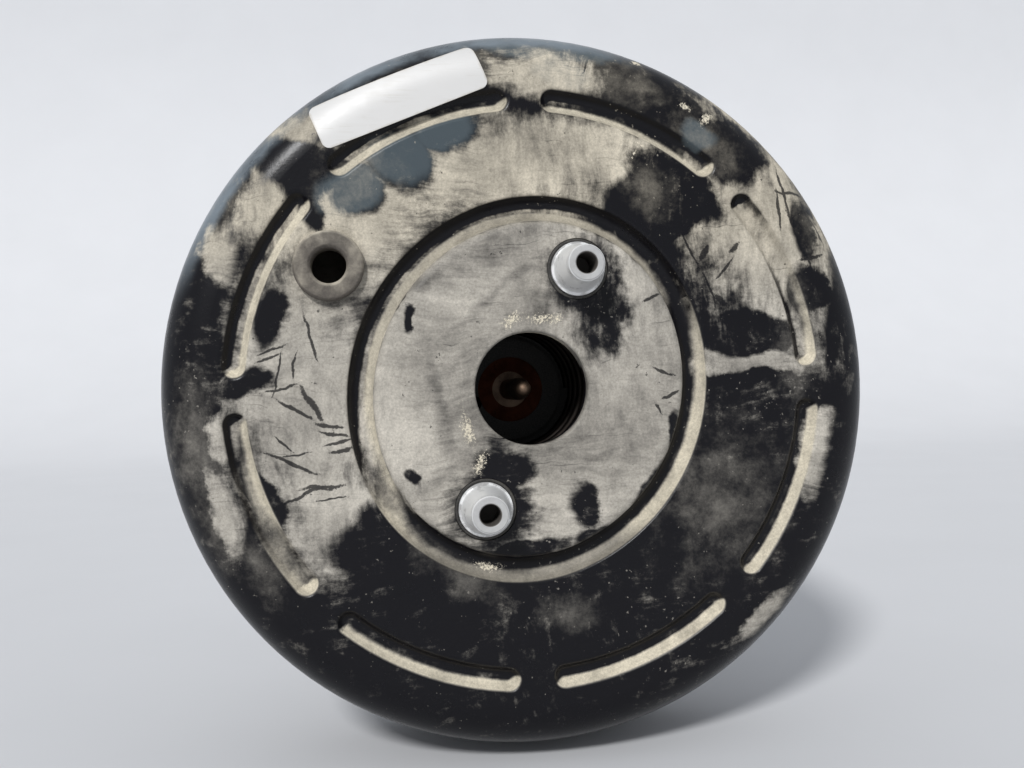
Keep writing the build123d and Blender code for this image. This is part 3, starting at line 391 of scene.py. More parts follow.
def black_paint(tints):
    """Gloss black paint with a haze of dust, settled on the upper side, and fine scuffs."""
    finish = Finish("BlackPaint")
    _, _, up = finish.axes(finish.place)
    cloud = finish.noise(18.0, 7.0, 0.65)
    grime = finish.noise(150.0, 8.0, 0.7)
    rough_place = finish.stretched(finish.place, (40, 500, 40), (0.3, 0.2, 0.4))
    scuffs = finish.noise(1.0, 6.0, 0.6, rough_place).step(0.64, 0.72)
    settled = up.step(-0.06, 0.16) * 0.22
    film = (cloud.step(0.42, 0.75) * grime.scaled(0.9, 0.0)) * (0.35 + settled)
    film = film + scuffs * 0.12
    relief = finish.bumped(grime, 0.00005)
    tone = finish.blended(film.clamped(), tints.paint, tints.grey_dust)
    return finish.surface(base_color=tone, roughness=film.scaled(0.7, 0.26), normal=relief, specular=0.4)


def bolt_metal(tone, stain):
    """Zinc-plated bolts: bright faces, bores painted dark as shade, dark seats, and dull rear studs."""
    finish = Finish("BoltZinc")
    across, along, up = finish.axes(finish.place)
    side = (across * BOLT_X + up * BOLT_Z).maths("SIGN")
    local_x = across - side * BOLT_X
    local_z = up - side * BOLT_Z
    radius = local_x.maths("MULTIPLY_ADD", local_x, local_z * local_z).maths("SQRT")
    on_stud = along.step(0.0, 0.001)
    in_bore = (1 - radius.step(0.0039, 0.0042)) * (1 - along.step(-0.118, -0.1175))
    seat = radius.step(0.0086, 0.0098)
    face = 1 - along.step(-0.13555, -0.13510)
    cloud = finish.noise(160.0, 6.0, 0.65)
    grain = finish.noise(1100.0, 3.0)
    worn = (cloud + seat * 0.16).step(0.56, 0.74)
    # painted shade: the bore is given the stain's tone in full
    dark = in_bore.larger(worn * 0.55).larger(on_stud * 0.45).larger(face * cloud.scaled(0.5, 0.15))
    relief = finish.bumped(grain, 0.00003)
    return finish.surface(
        base_color=finish.blended(dark.clamped(), tone, stain),
        metallic=0.35 - in_bore * 0.2,
        roughness=cloud.scaled(0.25, 0.22) + in_bore * 0.4,
        normal=relief,
    )


def rod_metal(tone, stain):
    """Zinc-plated push rod, dull along its thread."""
    finish = Finish("RodZinc")
    _, along, _ = finish.axes(finish.place)
    on_thread = along.step(0.066, 0.067)
    cloud = finish.noise(90.0, 6.0, 0.65)
    streaks = finish.noise(1.0, 4.0, 0.6, finish.stretched(finish.place, (1800, 90, 1800)))
    dark = cloud.step(0.42, 0.75) * 0.6 + on_thread * 0.3
    relief = finish.bumped(streaks, 0.00002)
    return finish.surface(
        base_color=finish.blended(dark.clamped(), tone, stain),
        metallic=1.0,
        roughness=cloud.scaled(0.3, 0.14),
        normal=relief,
    )


def plated_metal(name, tone, stain, roughness, lines=(900, 900, 900)):
    """Metal with machining lines, cloudy tarnish and small stains."""
    finish = Finish(name)
    cloud = finish.noise(70.0, 6.0, 0.65)
    spots = finish.noise(380.0, 3.0, 0.6)
    worked = finish.noise(1.0, 3.0, 0.6, finish.stretched(finish.place, lines))
    dark = cloud.step(0.40, 0.72) * 0.65 + spots.step(0.62, 0.70) * 0.35
    return finish.surface(
        base_color=finish.blended(dark.clamped(), tone, stain),
        metallic=1.0,
        roughness=cloud.scaled(0.3, roughness),
        normal=finish.bumped(worked + spots * 0.3, 0.00004),
    )


def moulding(name, tone, dust, roughness, settled=0.4, grain=1500.0, mottle=50.0):
    """Rubber or plastic with a matt grain and dust that settles on what faces up."""
    finish = Finish(name)
    _, _, upward = finish.axes(finish.facing)
    cloud = finish.noise(mottle, 6.0, 0.65)
    fine = finish.noise(grain, 3.0, 0.6)
    film = (upward.scaled(0.35, 0.35) + (cloud - 0.5) * 0.9).step(0.2, 0.9) * settled
    bloom = fine.scaled(0.2, -0.05).larger(0.0)
    return finish.surface(
        base_color=finish.blended((film + bloom).clamped(), tone, dust),
        roughness=cloud.scaled(0.25, roughness),
        normal=finish.bumped(fine + cloud * 2.0, 0.00005),
        specular=0.35,
    )


def foam(name, tone):
    """Open foam with dark pores."""
    finish = Finish(name)
    pores = finish.node("TexVoronoi", {"feature": "F1"}, {"Vector": finish.place, "Scale": 1200.0})
    hollow = pores.step(0.15, 0.5)
    dark = tuple(0.3 * part for part in tone)
    return finish.surface(
        base_color=finish.blended(hollow, tone, dark),
        roughness=0.95,
        normal=finish.bumped(1 - hollow, 0.0004),
    )


def label_film(tints):
    """Silvery label stock, rubbed grey along its edges and smudged."""
    finish = Finish("LabelFilm")
    place = finish.times(finish.place, 1 / MM)
    along, _, rise = finish.axes(finish.placed(place, LABEL_X / MM, LABEL_Z / MM, -LABEL_TURN))
    edge_x = along.maths("ABSOLUTE").scaled(1.0, -sizes().label_width / 2 / MM)
    edge_z = rise.maths("ABSOLUTE").scaled(1.0, -sizes().label_height / 2 / MM)
    edge = edge_x.larger(edge_z)
    grime = finish.noise(260.0, 7.0, 0.7)
    cloud = finish.noise(60.0, 5.0, 0.6)
    streaks = finish.noise(1.0, 5.0, 0.6, finish.stretched(finish.place, (70, 70, 900), (0, 0.4, 0)))
    worn = (edge + (grime - 0.5) * 3.2).step(-0.9, 0.3) * 0.7
    smudge = (cloud.step(0.45, 0.8) * streaks.step(0.4, 0.7)) * 0.4
    scratch = finish.noise(1.0, 2.0, 0.5, finish.stretched(finish.place, (60, 60, 2600), (0, -0.9, 0)))
    marks = scratch.step(0.68, 0.71) * 0.45
    return finish.surface(
        base_color=finish.blended(worn.larger(smudge).larger(marks), tints.label, tints.grey_dust),
        roughness=grime.scaled(0.25, 0.38),
        metallic=0.1,
        normal=finish.bumped(grime, 0.00004),
    )


def floor_finish(tints):
    """Pale matt floor with a faint mottle."""
    finish = Finish("StageFloor")
    tone = finish.times(tuple(tints.floor), finish.noise(6.0, 5.0).scaled(0.06, 0.97))
    return finish.surface(base_color=tone, roughness=0.85, specular=0.1)


def finish_nodes(material, *names):
    """Gives each node one material in all its slots."""
    for node in (NODES[name] for name in names):
        for slot in node.material_slots:
            slot.material = material
        if not node.material_slots:
            node.data.materials.append(material)


# ------------ modelling helpers
Room = namedtuple("Room", "centre radius front rear")


def pick(piece):
    """Selects one piece alone, and makes it the active one."""
    bpy.ops.object.select_all(action="DESELECT")
    piece.select_set(True)
    bpy.context.view_layer.objects.active = piece


def begin_edit(piece, mode, action="DESELECT"):
    """Opens one piece alone in edit mode, with nothing in it selected, or all of it."""
    pick(piece)
    bpy.ops.object.mode_set(mode="EDIT")
    bpy.ops.mesh.select_mode(type=mode)
    bpy.ops.mesh.select_all(action=action)


def end_edit():
    bpy.ops.object.mode_set(mode="OBJECT")


def shift(piece, metres):
    """Moves a piece's mesh, and not its object."""
    begin_edit(piece, "VERT", "SELECT")
    bpy.ops.transform.translate(value=metres)
    end_edit()


def settle(piece, name, body, material):
    """Puts a piece's place into its mesh, and gives it its name, its finish and any body it rides on."""
    pick(piece)
    bpy.ops.object.transform_apply()
    piece.name = name
    piece.data.name = name
    piece.data.materials.clear()
    piece.data.materials.append(material)
    if body:
        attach(piece, body)
    return piece


def apply_modifier(piece, kind, **settings):
    """Adds one modifier, sets it and applies it."""
    pick(piece)
    modifier = piece.modifiers.new(kind.title(), kind)
    for key, given in settings.items():
        setattr(modifier, key, given)
    bpy.ops.object.modifier_apply(modifier=modifier.name)


def lathe(stations, sides, centre=(0.0, 0.0), closed=True):
    """Rings about an axis along Y, extruded from ring to ring through (radius, y) in mm.

    A closed section ends where it began, and its last ring is merged with its first."""
    centre_x, centre_z = centre
    rings = [(radius * MM, y * MM) for radius, y in stations]
    if closed:
        rings.append(rings[0])
    first_radius, y = rings[0]
    bpy.ops.object.select_all(action="DESELECT")
    bpy.ops.mesh.primitive_circle_add(
        vertices=sides,
        radius=first_radius,
        fill_type="NOTHING",
        location=(centre_x, y, centre_z),
        rotation=(math.radians(90), 0, 0),
    )
    piece = bpy.context.object
    bpy.ops.object.transform_apply()
    begin_edit(piece, "EDGE", "SELECT")
    radius = first_radius
    for next_radius, next_y in rings[1:]:
        bpy.ops.mesh.extrude_edges_move(TRANSFORM_OT_translate={"value": (0, next_y - y, 0)})
        growth = next_radius / radius
        pivot = (centre_x, next_y, centre_z)
        bpy.ops.transform.resize(value=(growth, 1, growth), center_override=pivot)
        radius, y = next_radius, next_y
    bpy.ops.mesh.select_all(action="SELECT")
    if closed:
        bpy.ops.mesh.remove_doubles(threshold=1e-6)
    bpy.ops.mesh.normals_make_consistent(inside=False)
    end_edit()
    return piece


def room(name):
    """The axis, radius, front and rear of a round node, in mm, from its box in the frame."""
    low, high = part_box(name)
    return Room(
        centre=((low.x + high.x) / 2 / MM, (low.z + high.z) / 2 / MM),
        radius=(high.x - low.x) / 2 / MM,
        front=low.y / MM,
        rear=high.y / MM,
    )


def arc(centre_radius, centre_y, reach, start, end, steps):
    """Points (radius, y) on a round stretch. Angles are in degrees, 0 outwards and 90 rearwards."""
    points = []
    for step in range(steps + 1):
        angle = math.radians(start + (end - start) * step / steps)
        points.append((centre_radius + reach * math.cos(angle), centre_y + reach * math.sin(angle)))
    return points


def copied(piece, metres):
    """A second piece like the first, with its own mesh, moved by metres."""
    pick(piece)
    bpy.ops.object.duplicate(linked=False)
    twin = bpy.context.object
    shift(twin, metres)
    return twin


def at_both_bolts(piece):
    """Joins a piece on the first bolt's axis with its copy on the second's."""
    return joined([piece, copied(piece, (-2 * BOLT_X, 0, -2 * BOLT_Z))])


def softened(piece, width, segments=2):
    """Rounds the sharp edges of a piece and smooths the rest."""
    apply_modifier(piece, "BEVEL", width=width, segments=segments, limit_method="ANGLE")
    bpy.ops.object.shade_smooth_by_angle(angle=math.radians(35))
    return piece


def joined(pieces):
    """One piece out of several alike."""
    bpy.ops.object.select_all(action="DESELECT")
    for piece in pieces:
        piece.select_set(True)
    bpy.context.view_layer.objects.active = pieces[0]
    bpy.ops.object.join()
    return bpy.context.object


def wound(mean_radius, wire_radius, front_y, rear_y, turns, steps, sides):
    """A coil of round wire about the Y axis that just fills front_y to rear_y."""
    start = front_y + wire_radius
    rise = (rear_y - wire_radius - start) / turns
    bpy.ops.object.select_all(action="DESELECT")
    bpy.ops.mesh.primitive_circle_add(
        vertices=sides, radius=wire_radius, fill_type="NOTHING", location=(mean_radius, start, 0)
    )
    piece = bpy.context.object
    bpy.ops.object.transform_apply()
    apply_modifier(
        piece,
        "SCREW",
        axis="Y",
        angle=2 * math.pi,
        screw_offset=rise,
        iterations=turns,
        steps=steps,
        render_steps=steps,
        use_merge_vertices=False,
    )
    begin_edit(piece, "VERT")
    bpy.ops.mesh.select_non_manifold()
    bpy.ops.mesh.fill_holes(sides=sides)
    bpy.ops.mesh.select_all(action="SELECT")
    bpy.ops.mesh.normals_make_consistent(inside=False)
    end_edit()
    bpy.ops.object.shade_smooth_by_angle(angle=math.radians(50))
    return piece


def thicken(piece, thickness):
    """Gives an open sheet its wall, inwards, and smooths it."""
    apply_modifier(piece, "SOLIDIFY", thickness=thickness, offset=-1.0, use_even_offset=True)
    bpy.ops.object.shade_smooth_by_angle(angle=math.radians(60))


# ------------ properties
def tint(name, description, default):
    """A colour that a user may change."""
    return FloatVectorProperty(name=name, description=description, subtype="COLOR", default=default)


def length(name, description, default):
    """A length in metres that a user may change."""
    return FloatProperty(name=name, description=description, unit="LENGTH", default=default)


class BoosterLook(bpy.types.PropertyGroup):
    """Colours of the booster and its stage."""

    paint: tint("Paint", "Black paint of the shells", (0.0046, 0.0044, 0.0062))
    dust: tint("Dust", "Road dust on the upper ring", (0.56, 0.505, 0.405))
    grey_dust: tint("Grey dust", "Dust elsewhere", (0.49, 0.455, 0.395))
    # also the painted highlight on pressed walls that face the light
    pale_dust_and_highlight: tint("Pale dust", "Dust on the pressed walls", (0.62, 0.56, 0.44))
    # a painted reflection of the sky on clean paint
    painted_sky_reflection: tint("Glaze", "Clean paint that mirrors the sky", (0.066, 0.084, 0.095))
    # a painted reflection of the sky on the upper rim
    painted_rim_reflection: tint("Rim haze", "Wiped haze on the upper rim", (0.17, 0.20, 0.225))
    zinc: tint("Zinc", "Bright zinc plate", (0.86, 0.86, 0.85))
    yellow_zinc: tint("Yellow zinc", "Plate of the clevis", (0.50, 0.46, 0.36))
    stain: tint("Stain", "Tarnish on the plate", (0.10, 0.09, 0.08))
    grommet: tint("Grommet", "Rubber of the grommet", (0.07, 0.06, 0.052))
    label: tint("Label", "Bare label", (0.66, 0.65, 0.635))
    floor: tint("Floor", "Floor and backdrop", (0.66, 0.665, 0.68))


class BoosterSizes(bpy.types.PropertyGroup):
    """Sizes of the pieces that this file models."""

    spring_steps: IntProperty(
        name="Spring steps", description="Segments in one turn of a coil", default=40, min=12
    )
    label_width: length("Label width", "Long side of the label", 0.0655)
    label_height: length("Label height", "Short side of the label", 0.0173)
    boot_folds: IntProperty(name="Boot folds", description="Folds of the boot", default=5, min=1)
    boot_pitch: length("Boot pitch", "From one fold to the next", 0.0076)
    boot_rise: length("Boot rise", "From a fold's root to its crest", 0.0087)
    boot_wall: length("Boot wall", "Rubber thickness of the boot", 0.0010)
    label_corner: length("Label corner", "Corner radius of the label", 0.0030)


def look():
    return bpy.context.scene.booster_look


def sizes():
    return bpy.context.scene.booster_sizes


# ------------ operators
class BOOSTER_OT_shells(bpy.types.Operator):
    """Paint the two shells"""

    bl_idname = "booster.shells"
    bl_label = "Shells"

    def execute(self, context):
        finish_nodes(dusty_paint(look()), "front_shell")
        finish_nodes(black_paint(look()), "rear_shell")
        return {"FINISHED"}


class BOOSTER_OT_metalwork(bpy.types.Operator):
    """Finish the bolts, nuts, rods and clevis"""

    bl_idname = "booster.metalwork"
    bl_label = "Metalwork"

    def execute(self, context):
        bright, stain = look().zinc, look().stain
        finish_nodes(bolt_metal(bright, stain), "tie_bolts")
        finish_nodes(rod_metal(bright, stain), "input_rod")
        yellow = plated_metal("YellowZinc", look().yellow_zinc, stain, 0.2, (120, 120, 1500))
        finish_nodes(yellow, "clevis", "lock_nut")
        finish_nodes(plated_metal("NutZinc", bright, stain, 0.2, (1500, 120, 1500)), "tie_bolt_nuts")
        steel = plated_metal("OiledSteel", (0.16, 0.14, 0.12), (0.03, 0.025, 0.02), 0.35)
        finish_nodes(
            steel, "control_plunger", "stop_key", "tie_bolt_sleeves", "diaphragm_plate", "spring_seat"
        )
        finish_nodes(plated_metal("RodSteel", (0.30, 0.21, 0.15), (0.05, 0.03, 0.02), 0.4), "output_rod")
        rust = plated_metal("RustySteel", (0.16, 0.055, 0.03), (0.04, 0.014, 0.009), 0.6)
        finish_nodes(rust, "output_rod_ring", "poppet_retainer", "diaphragm_ring", "seal_retainer")
        return {"FINISHED"}


class BOOSTER_OT_mouldings(bpy.types.Operator):
    """Finish the plastic and foam pieces"""

    bl_idname = "booster.mouldings"
    bl_label = "Mouldings"

    def execute(self, context):
        resin = moulding("HubResin", (0.007, 0.007, 0.007), look().grey_dust, 0.4, 0.08)
        finish_nodes(resin, "valve_body", "guide_bearing", "filter_cap")
        finish_nodes(foam("FilterFoam", (0.06, 0.06, 0.055)), "air_filter")
        return {"FINISHED"}


class BOOSTER_OT_seals(bpy.types.Operator):
    """Model the grommet and the small rubber seals"""

    bl_idname = "booster.seals"
    bl_label = "Seals"

    def execute(self, context):
        grey = moulding("DustyRubber", look().grommet, look().dust, 0.6, 0.95, 900.0, 130.0)
        black = moulding("BlackRubber", (0.012, 0.012, 0.012), look().grey_dust, 0.45, 0.15)
        self.grommet(grey)
        self.bolt_seals(black)
        self.hub_seals(black)
        return {"FINISHED"}

    def grommet(self, rubber):
        """A flange outside the shell, a waist in its hole and a lip inside."""
        around = room("vacuum_grommet")
        bore, mouth, edge = 6.4, 1.0, 0.8
        waist, lip, lip_end = 9.3, 11.6, 10.0
        inside = FACE_Y + WALL
        section = (
            (bore, around.rear),
            (bore, around.front + mouth),
            (bore + mouth, around.front),
            (around.radius - edge, around.front),
            (around.radius, around.front + edge),
            (around.radius, FACE_Y),
            (waist, FACE_Y),
            (waist, inside),
            (lip, inside),
            (lip, inside + mouth),
            (lip_end, around.rear),
        )
        piece = softened(lathe(section, 96, tuple(MM * place for place in around.centre)), 0.35 * MM, 3)
        settle(piece, "vacuum_grommet_rubber", "housing", rubber)
        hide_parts("vacuum_grommet")

    def bolt_seals(self, rubber):
        """A rounded ring round each bolt's front flange and round each bolt's rear collar."""
        for name, inner in (("tie_bolt_front_seals", 10.05), ("tie_bolt_rear_seals", 5.05)):
            around = room(name)
            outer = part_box(name)[1].x / MM - BOLT_X / MM
            corner = (around.rear - around.front) / 4
            section = (
                (inner, around.rear),
                (inner, around.front + corner),
                (inner + corner, around.front),
                (outer - corner, around.front),
                (outer, around.front + corner),
                (outer, around.rear),
            )
            ring = softened(lathe(section, 64, (BOLT_X, BOLT_Z)), 0.15 * MM)
            settle(at_both_bolts(ring), name + "_rubber", "housing", rubber)
            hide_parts(name)

    def hub_seals(self, rubber):
        """The lip seal round the hub's neck, the reaction disc and the poppet."""
        seal = room("rear_seal")
        lip = seal.radius - 6.15
        lip_seal = (
            (lip, seal.front),
            (seal.radius, seal.front),
            (seal.radius, seal.rear),
            (seal.radius - 1.6, seal.rear),
            *arc(seal.radius - 3.2, seal.front + 3.2, 1.6, 0, -180, 8),
            (seal.radius - 5.2, seal.rear),
            (lip, seal.rear - 0.2),
        )
        disc = room("reaction_disc")
        edge, core = 0.6, 0.05
        disc_section = (
            (core, disc.front),
            (disc.radius - edge, disc.front),
            (disc.radius, disc.front + edge),
            (disc.radius, disc.rear - edge),
            (disc.radius - edge, disc.rear),
            (core, disc.rear),
        )
        poppet = room("poppet_valve")
        hole, skirt, ledge, wall = 6.25, 11.8, 2.0, 1.4
        poppet_section = (
            (hole, poppet.front),
            (poppet.radius - edge, poppet.front),
            (poppet.radius, poppet.front + edge),
            (skirt + edge, poppet.front + ledge),
            (skirt, poppet.front + 2 * ledge),
            (skirt, poppet.rear - ledge - edge),
            (poppet.radius, poppet.rear - ledge),
            (poppet.radius, poppet.rear),
            (skirt - wall, poppet.rear),
            (skirt - wall, poppet.front + ledge),
            (hole, poppet.front + ledge),
        )
        for name, body, section in (
            ("rear_seal", "housing", lip_seal),
            ("reaction_disc", "power_piston", disc_section),
            ("poppet_valve", "power_piston", poppet_section),
        ):
            piece = softened(lathe(section, 72), 0.2 * MM)
            settle(piece, name + "_rubber", body, rubber)
            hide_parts(name)


# one fold of the boot as (share of the rise, share of the pitch)
FOLD_SHAPE = (
    (0.06, 0.02), (0.90, 0.24), (0.98, 0.29),
    (1.00, 0.37), (0.98, 0.45), (0.90, 0.50),
    (0.06, 0.76), (0.00, 0.84), (0.00, 0.93),
)


class BOOSTER_OT_boot(bpy.types.Operator):
    """Model the rubber boot behind the rear shell: bellows on the neck and a collar on the rod"""

    bl_idname = "booster.boot"
    bl_label = "Boot"

    def execute(self, context):
        rubber = moulding("BootRubber", (0.014, 0.014, 0.015), look().grey_dust, 0.5, 0.3)
        around = room("dust_boot")
        bellows = self.bellows(around, rubber)
        collar = self.collar(around, rubber)
        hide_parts("dust_boot")
        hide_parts("dust_boot")
        return {"FINISHED"}

    def bellows(self, around, rubber):
        """The folds on the shell's neck."""
        folds, pitch = sizes().boot_folds, sizes().boot_pitch / MM
        crest = around.radius - 0.1
        root = crest - sizes().boot_rise / MM
        neck, bead, face = 28.8, 1.0, 15.5
        first_fold = around.front + pitch
        line = [
            (neck - 0.4, around.front),
            (neck + bead, around.front + 0.6),
            (neck + bead, around.front + 3.6),
            (neck, around.front + 4.2),
            (neck, first_fold - 1.2),
        ]
        for fold in range(folds):
            start = first_fold + fold * pitch
            for rise, share in FOLD_SHAPE:
                line.append((root + rise * (crest - root), start + share * pitch))
        shoulder = first_fold + folds * pitch
        line.append((root - 0.2, shoulder))
        line += arc(face + 3.7, shoulder - 3.0, 6.4, 22, 90, 5)
        line.append((face, shoulder + 3.4))
        piece = lathe(line, 96, closed=False)
        thicken(piece, sizes().boot_wall)
        settle(piece, "dust_boot_bellows", "housing", rubber)
        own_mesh(piece)
        return piece

    def collar(self, around, rubber):
        """The slotted rear face, which grips the rod and goes with it."""
        grip, rim, slot_inner, slot_outer, lip = 7.2, 20.4, 12.0, 18.0, 1.2
        slot_step, slot_turn = 60, 15  # in degrees
        line = (
            (rim, around.rear - 11.3),
            (rim - 0.4, around.rear - 11.0),
            (slot_outer, around.rear - 10.5),
            (slot_inner, around.rear - 8.6),
            (grip + lip, around.rear - 6.8),
            (grip, around.rear - 5.6),
            (grip, around.rear - 3.2),
            (grip + lip, around.rear - 2.4),
            (grip + lip, around.rear - 0.4),
            (grip, around.rear),
        )
        piece = lathe(line, 48, closed=False)
        begin_edit(piece, "FACE")
        end_edit()
        for face in piece.data.polygons:
            reach = math.hypot(face.center.x, face.center.z) / MM
            turn = math.degrees(math.atan2(face.center.z, face.center.x)) % slot_step
            face.select = slot_inner < reach < slot_outer and turn < slot_turn
        bpy.ops.object.mode_set(mode="EDIT")
        bpy.ops.mesh.delete(type="FACE")
        end_edit()
        thicken(piece, sizes().boot_wall * 1.2)
        settle(piece, "dust_boot_collar", "input_rod", rubber)
        return piece


class BOOSTER_OT_diaphragm(bpy.types.Operator):
    """Model the diaphragm: a web with the inner half of its rolling loop, and a rim with the rest"""

    bl_idname = "booster.diaphragm"
    bl_label = "Diaphragm"

    def execute(self, context):
        rubber = moulding("DiaphragmRubber", (0.013, 0.013, 0.012), look().grey_dust, 0.5, 0.1)
        around = room("diaphragm")
        plate = room("diaphragm_plate")
        thickness, loop_width = 1.75, 9.75
        inner_leg = plate.radius + 0.3
        outer_leg = inner_leg + loop_width
        middle = (inner_leg + outer_leg) / 2
        bend = (outer_leg - inner_leg) / 2
        loop_y = around.front + bend
        front = plate.rear + 0.4
        rear = front + thickness
        slope_start, slope_end = 70.0, plate.rear - 18.0
        hub, hub_bead = 30.9, 35.4
        web = (
            (hub, front),
            (slope_start - 4, front),
            (slope_start + 3, front - 1.2),
            (inner_leg - 6, slope_end + 2.6),
            (inner_leg - 1.6, slope_end - 0.6),
            (inner_leg, slope_end - 5.0),
            *arc(middle, loop_y, bend, -180, -90, 8),
            *arc(middle, loop_y, bend - thickness, -90, -180, 8),
            (inner_leg + thickness, slope_end - 4.4),
            (inner_leg - 0.4, slope_end + 0.9),
            (inner_leg - 5.4, slope_end + 4.3),
            (slope_start + 3.4, rear - 1.2),
            (slope_start - 3.8, rear),
            (hub_bead, rear),
            (hub_bead, around.rear - 0.8),
            (hub_bead - 0.8, around.rear),
            (hub + 0.8, around.rear),
            (hub, around.rear - 0.8),
        )
        web_piece = softened(lathe(web, 144), 0.3 * MM)
        settle(web_piece, "diaphragm_web", "power_piston", rubber)
        seam, edge = -46.3, 0.5
        bead_front, bead_inner = seam - 3.3, around.radius - 5.2
        rim = (
            *arc(middle, loop_y, bend, -90, 0, 8),
            (outer_leg + 0.3, bead_front + 0.5),
            (bead_inner, bead_front + 1.4),
            (bead_inner, bead_front),
            (around.radius - edge, bead_front),
            (around.radius, bead_front + edge),
            (around.radius, seam - edge),
            (around.radius - edge, seam),
            (outer_leg - 0.5, seam),
            (outer_leg - thickness, seam - 1.6),
            *arc(middle, loop_y, bend - thickness, 0, -90, 8),
        )
        rim_piece = softened(lathe(rim, 144), 0.3 * MM)
        settle(rim_piece, "diaphragm_rim", None, rubber)
        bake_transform(rim_piece)
        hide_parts("diaphragm")
        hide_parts("diaphragm")
        return {"FINISHED"}


class BOOSTER_OT_label(bpy.types.Operator):
    """Lay the bare label over the upper rim of the front shell"""

    bl_idname = "booster.label"
    bl_label = "Label"

    def execute(self, context):
        width, height = sizes().label_width, sizes().label_height
        flat_end, rim_bend = 118.5, 17.5
        start_y = -0.13  # clear of the face, until the label is laid on it
        lift, film = 0.00006, 0.00015
        line = [(flat_end - 24, FACE_Y), *arc(flat_end, FACE_Y + rim_bend, rim_bend, -90, -36, 12)]
        blank = lathe(line, 288, closed=False)
        bpy.ops.object.select_all(action="DESELECT")
        bpy.ops.mesh.primitive_plane_add(size=1.0, rotation=(math.radians(90), 0, 0))
        label = context.object
        label.scale = (width, height, 1.0)
        bpy.ops.object.transform_apply()
        begin_edit(label, "VERT", "SELECT")
        bpy.ops.mesh.bevel(affect="VERTICES", offset=sizes().label_corner, segments=6)
        strips, rows = 24, 8
        for step in range(1, strips):
            bpy.ops.mesh.select_all(action="SELECT")
            across = (step / strips - 0.5) * width
            bpy.ops.mesh.bisect(plane_co=(across, 0, 0), plane_no=(1, 0, 0))
        for step in range(1, rows):
            bpy.ops.mesh.select_all(action="SELECT")
            rise = (step / rows - 0.5) * height
            bpy.ops.mesh.bisect(plane_co=(0, 0, rise), plane_no=(0, 0, 1))
        bpy.ops.mesh.select_all(action="SELECT")
        bpy.ops.transform.rotate(value=LABEL_TURN, orient_axis="Y", center_override=(0, 0, 0))
        bpy.ops.transform.translate(value=(LABEL_X, start_y, LABEL_Z))
        end_edit()
        apply_modifier(
            label,
            "SHRINKWRAP",
            wrap_method="PROJECT",
            target=blank,
            use_project_y=True,
            use_positive_direction=True,
            use_negative_direction=True,
            offset=lift,
        )
        apply_modifier(label, "SOLIDIFY", thickness=film, offset=1.0)
        bpy.ops.object.shade_smooth_by_angle(angle=math.radians(35))
        bpy.data.objects.remove(blank)
        settle(label, "blank_label", "housing", label_film(look()))
        return {"FINISHED"}


class BOOSTER_OT_threads(bpy.types.Operator):
    """Wind the screw threads on the rear studs and on the push rod"""

    bl_idname = "booster.threads"
    bl_label = "Threads"

    def execute(self, context):
        zinc = plated_metal("ThreadZinc", look().zinc, look().stain, 0.25, (500, 500, 500))
        chamfer, rod_front = 1.0, 66.0
        stud = self.thread(4.0, 1.25, room("tie_bolt_nuts").rear, room("tie_bolts").rear - chamfer)
        shift(stud, (BOLT_X, 0, BOLT_Z))
        settle(at_both_bolts(stud), "stud_threads", "housing", zinc)
        rod = self.thread(5.0, 1.5, rod_front, room("lock_nut").front)
        settle(rod, "push_rod_thread", "input_rod", zinc)
        return {"FINISHED"}

    def thread(self, radius, pitch, front, rear):
        """A low four-sided ridge wound from front to rear on a rod of this radius, in mm."""
        ridge, steps, sides = 0.3, 36, 4
        turns = round((rear - front) / pitch)
        return wound(radius * MM, ridge * MM, front * MM, rear * MM, turns, steps, sides)


class BOOSTER_OT_springs(bpy.types.Operator):
    """Wind the three coil springs"""

    bl_idname = "booster.springs"
    bl_label = "Springs"

    def execute(self, context):
        # painted shade: the coils are given a near-black tone, darker than their steel, for the shade
        # inside the shell
        steel = plated_metal("SpringSteel", (0.02, 0.017, 0.015), (0.008, 0.006, 0.005), 0.4)
        for name, body, wire, turns, squash in (
            ("return_spring", "housing", 0.0017, 6, ("power_piston_stroke", -0.1165, 0.503)),
            ("input_return_spring", "power_piston", 0.0011, 4, ("plunger_travel", 0.0137, 0.905)),
            ("poppet_spring", "power_piston", 0.00055, 4, None),
        ):
            low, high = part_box(name)
            mean = high.x - wire
            piece = wound(mean, wire, low.y, high.y, turns, sizes().spring_steps, 12)
            settle(piece, name + "_coil", body, steel)
            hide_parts(name)
            if squash:
                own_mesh(piece)
        return {"FINISHED"}


FLOOR_SIZE, WALL_HEIGHT, WALL_SWEEP = 6.0, 4.0, 1.5
SKY, SKY_STRENGTH = (0.90, 0.94, 1.0, 1.0), 0.5
SUN_STRENGTH, SUN_SPREAD = 2.4, math.radians(9)
SUN_DIRECTION = (0.45, 0.95, -0.75)
CAMERA_PLACE = (-0.05132, -0.46786, -0.00117)
CAMERA_TURNS = (90.472, 1.419, -7.142)  # in degrees
CAMERA_LENS, CAMERA_SENSOR = 33.75, 36.0  # in mm


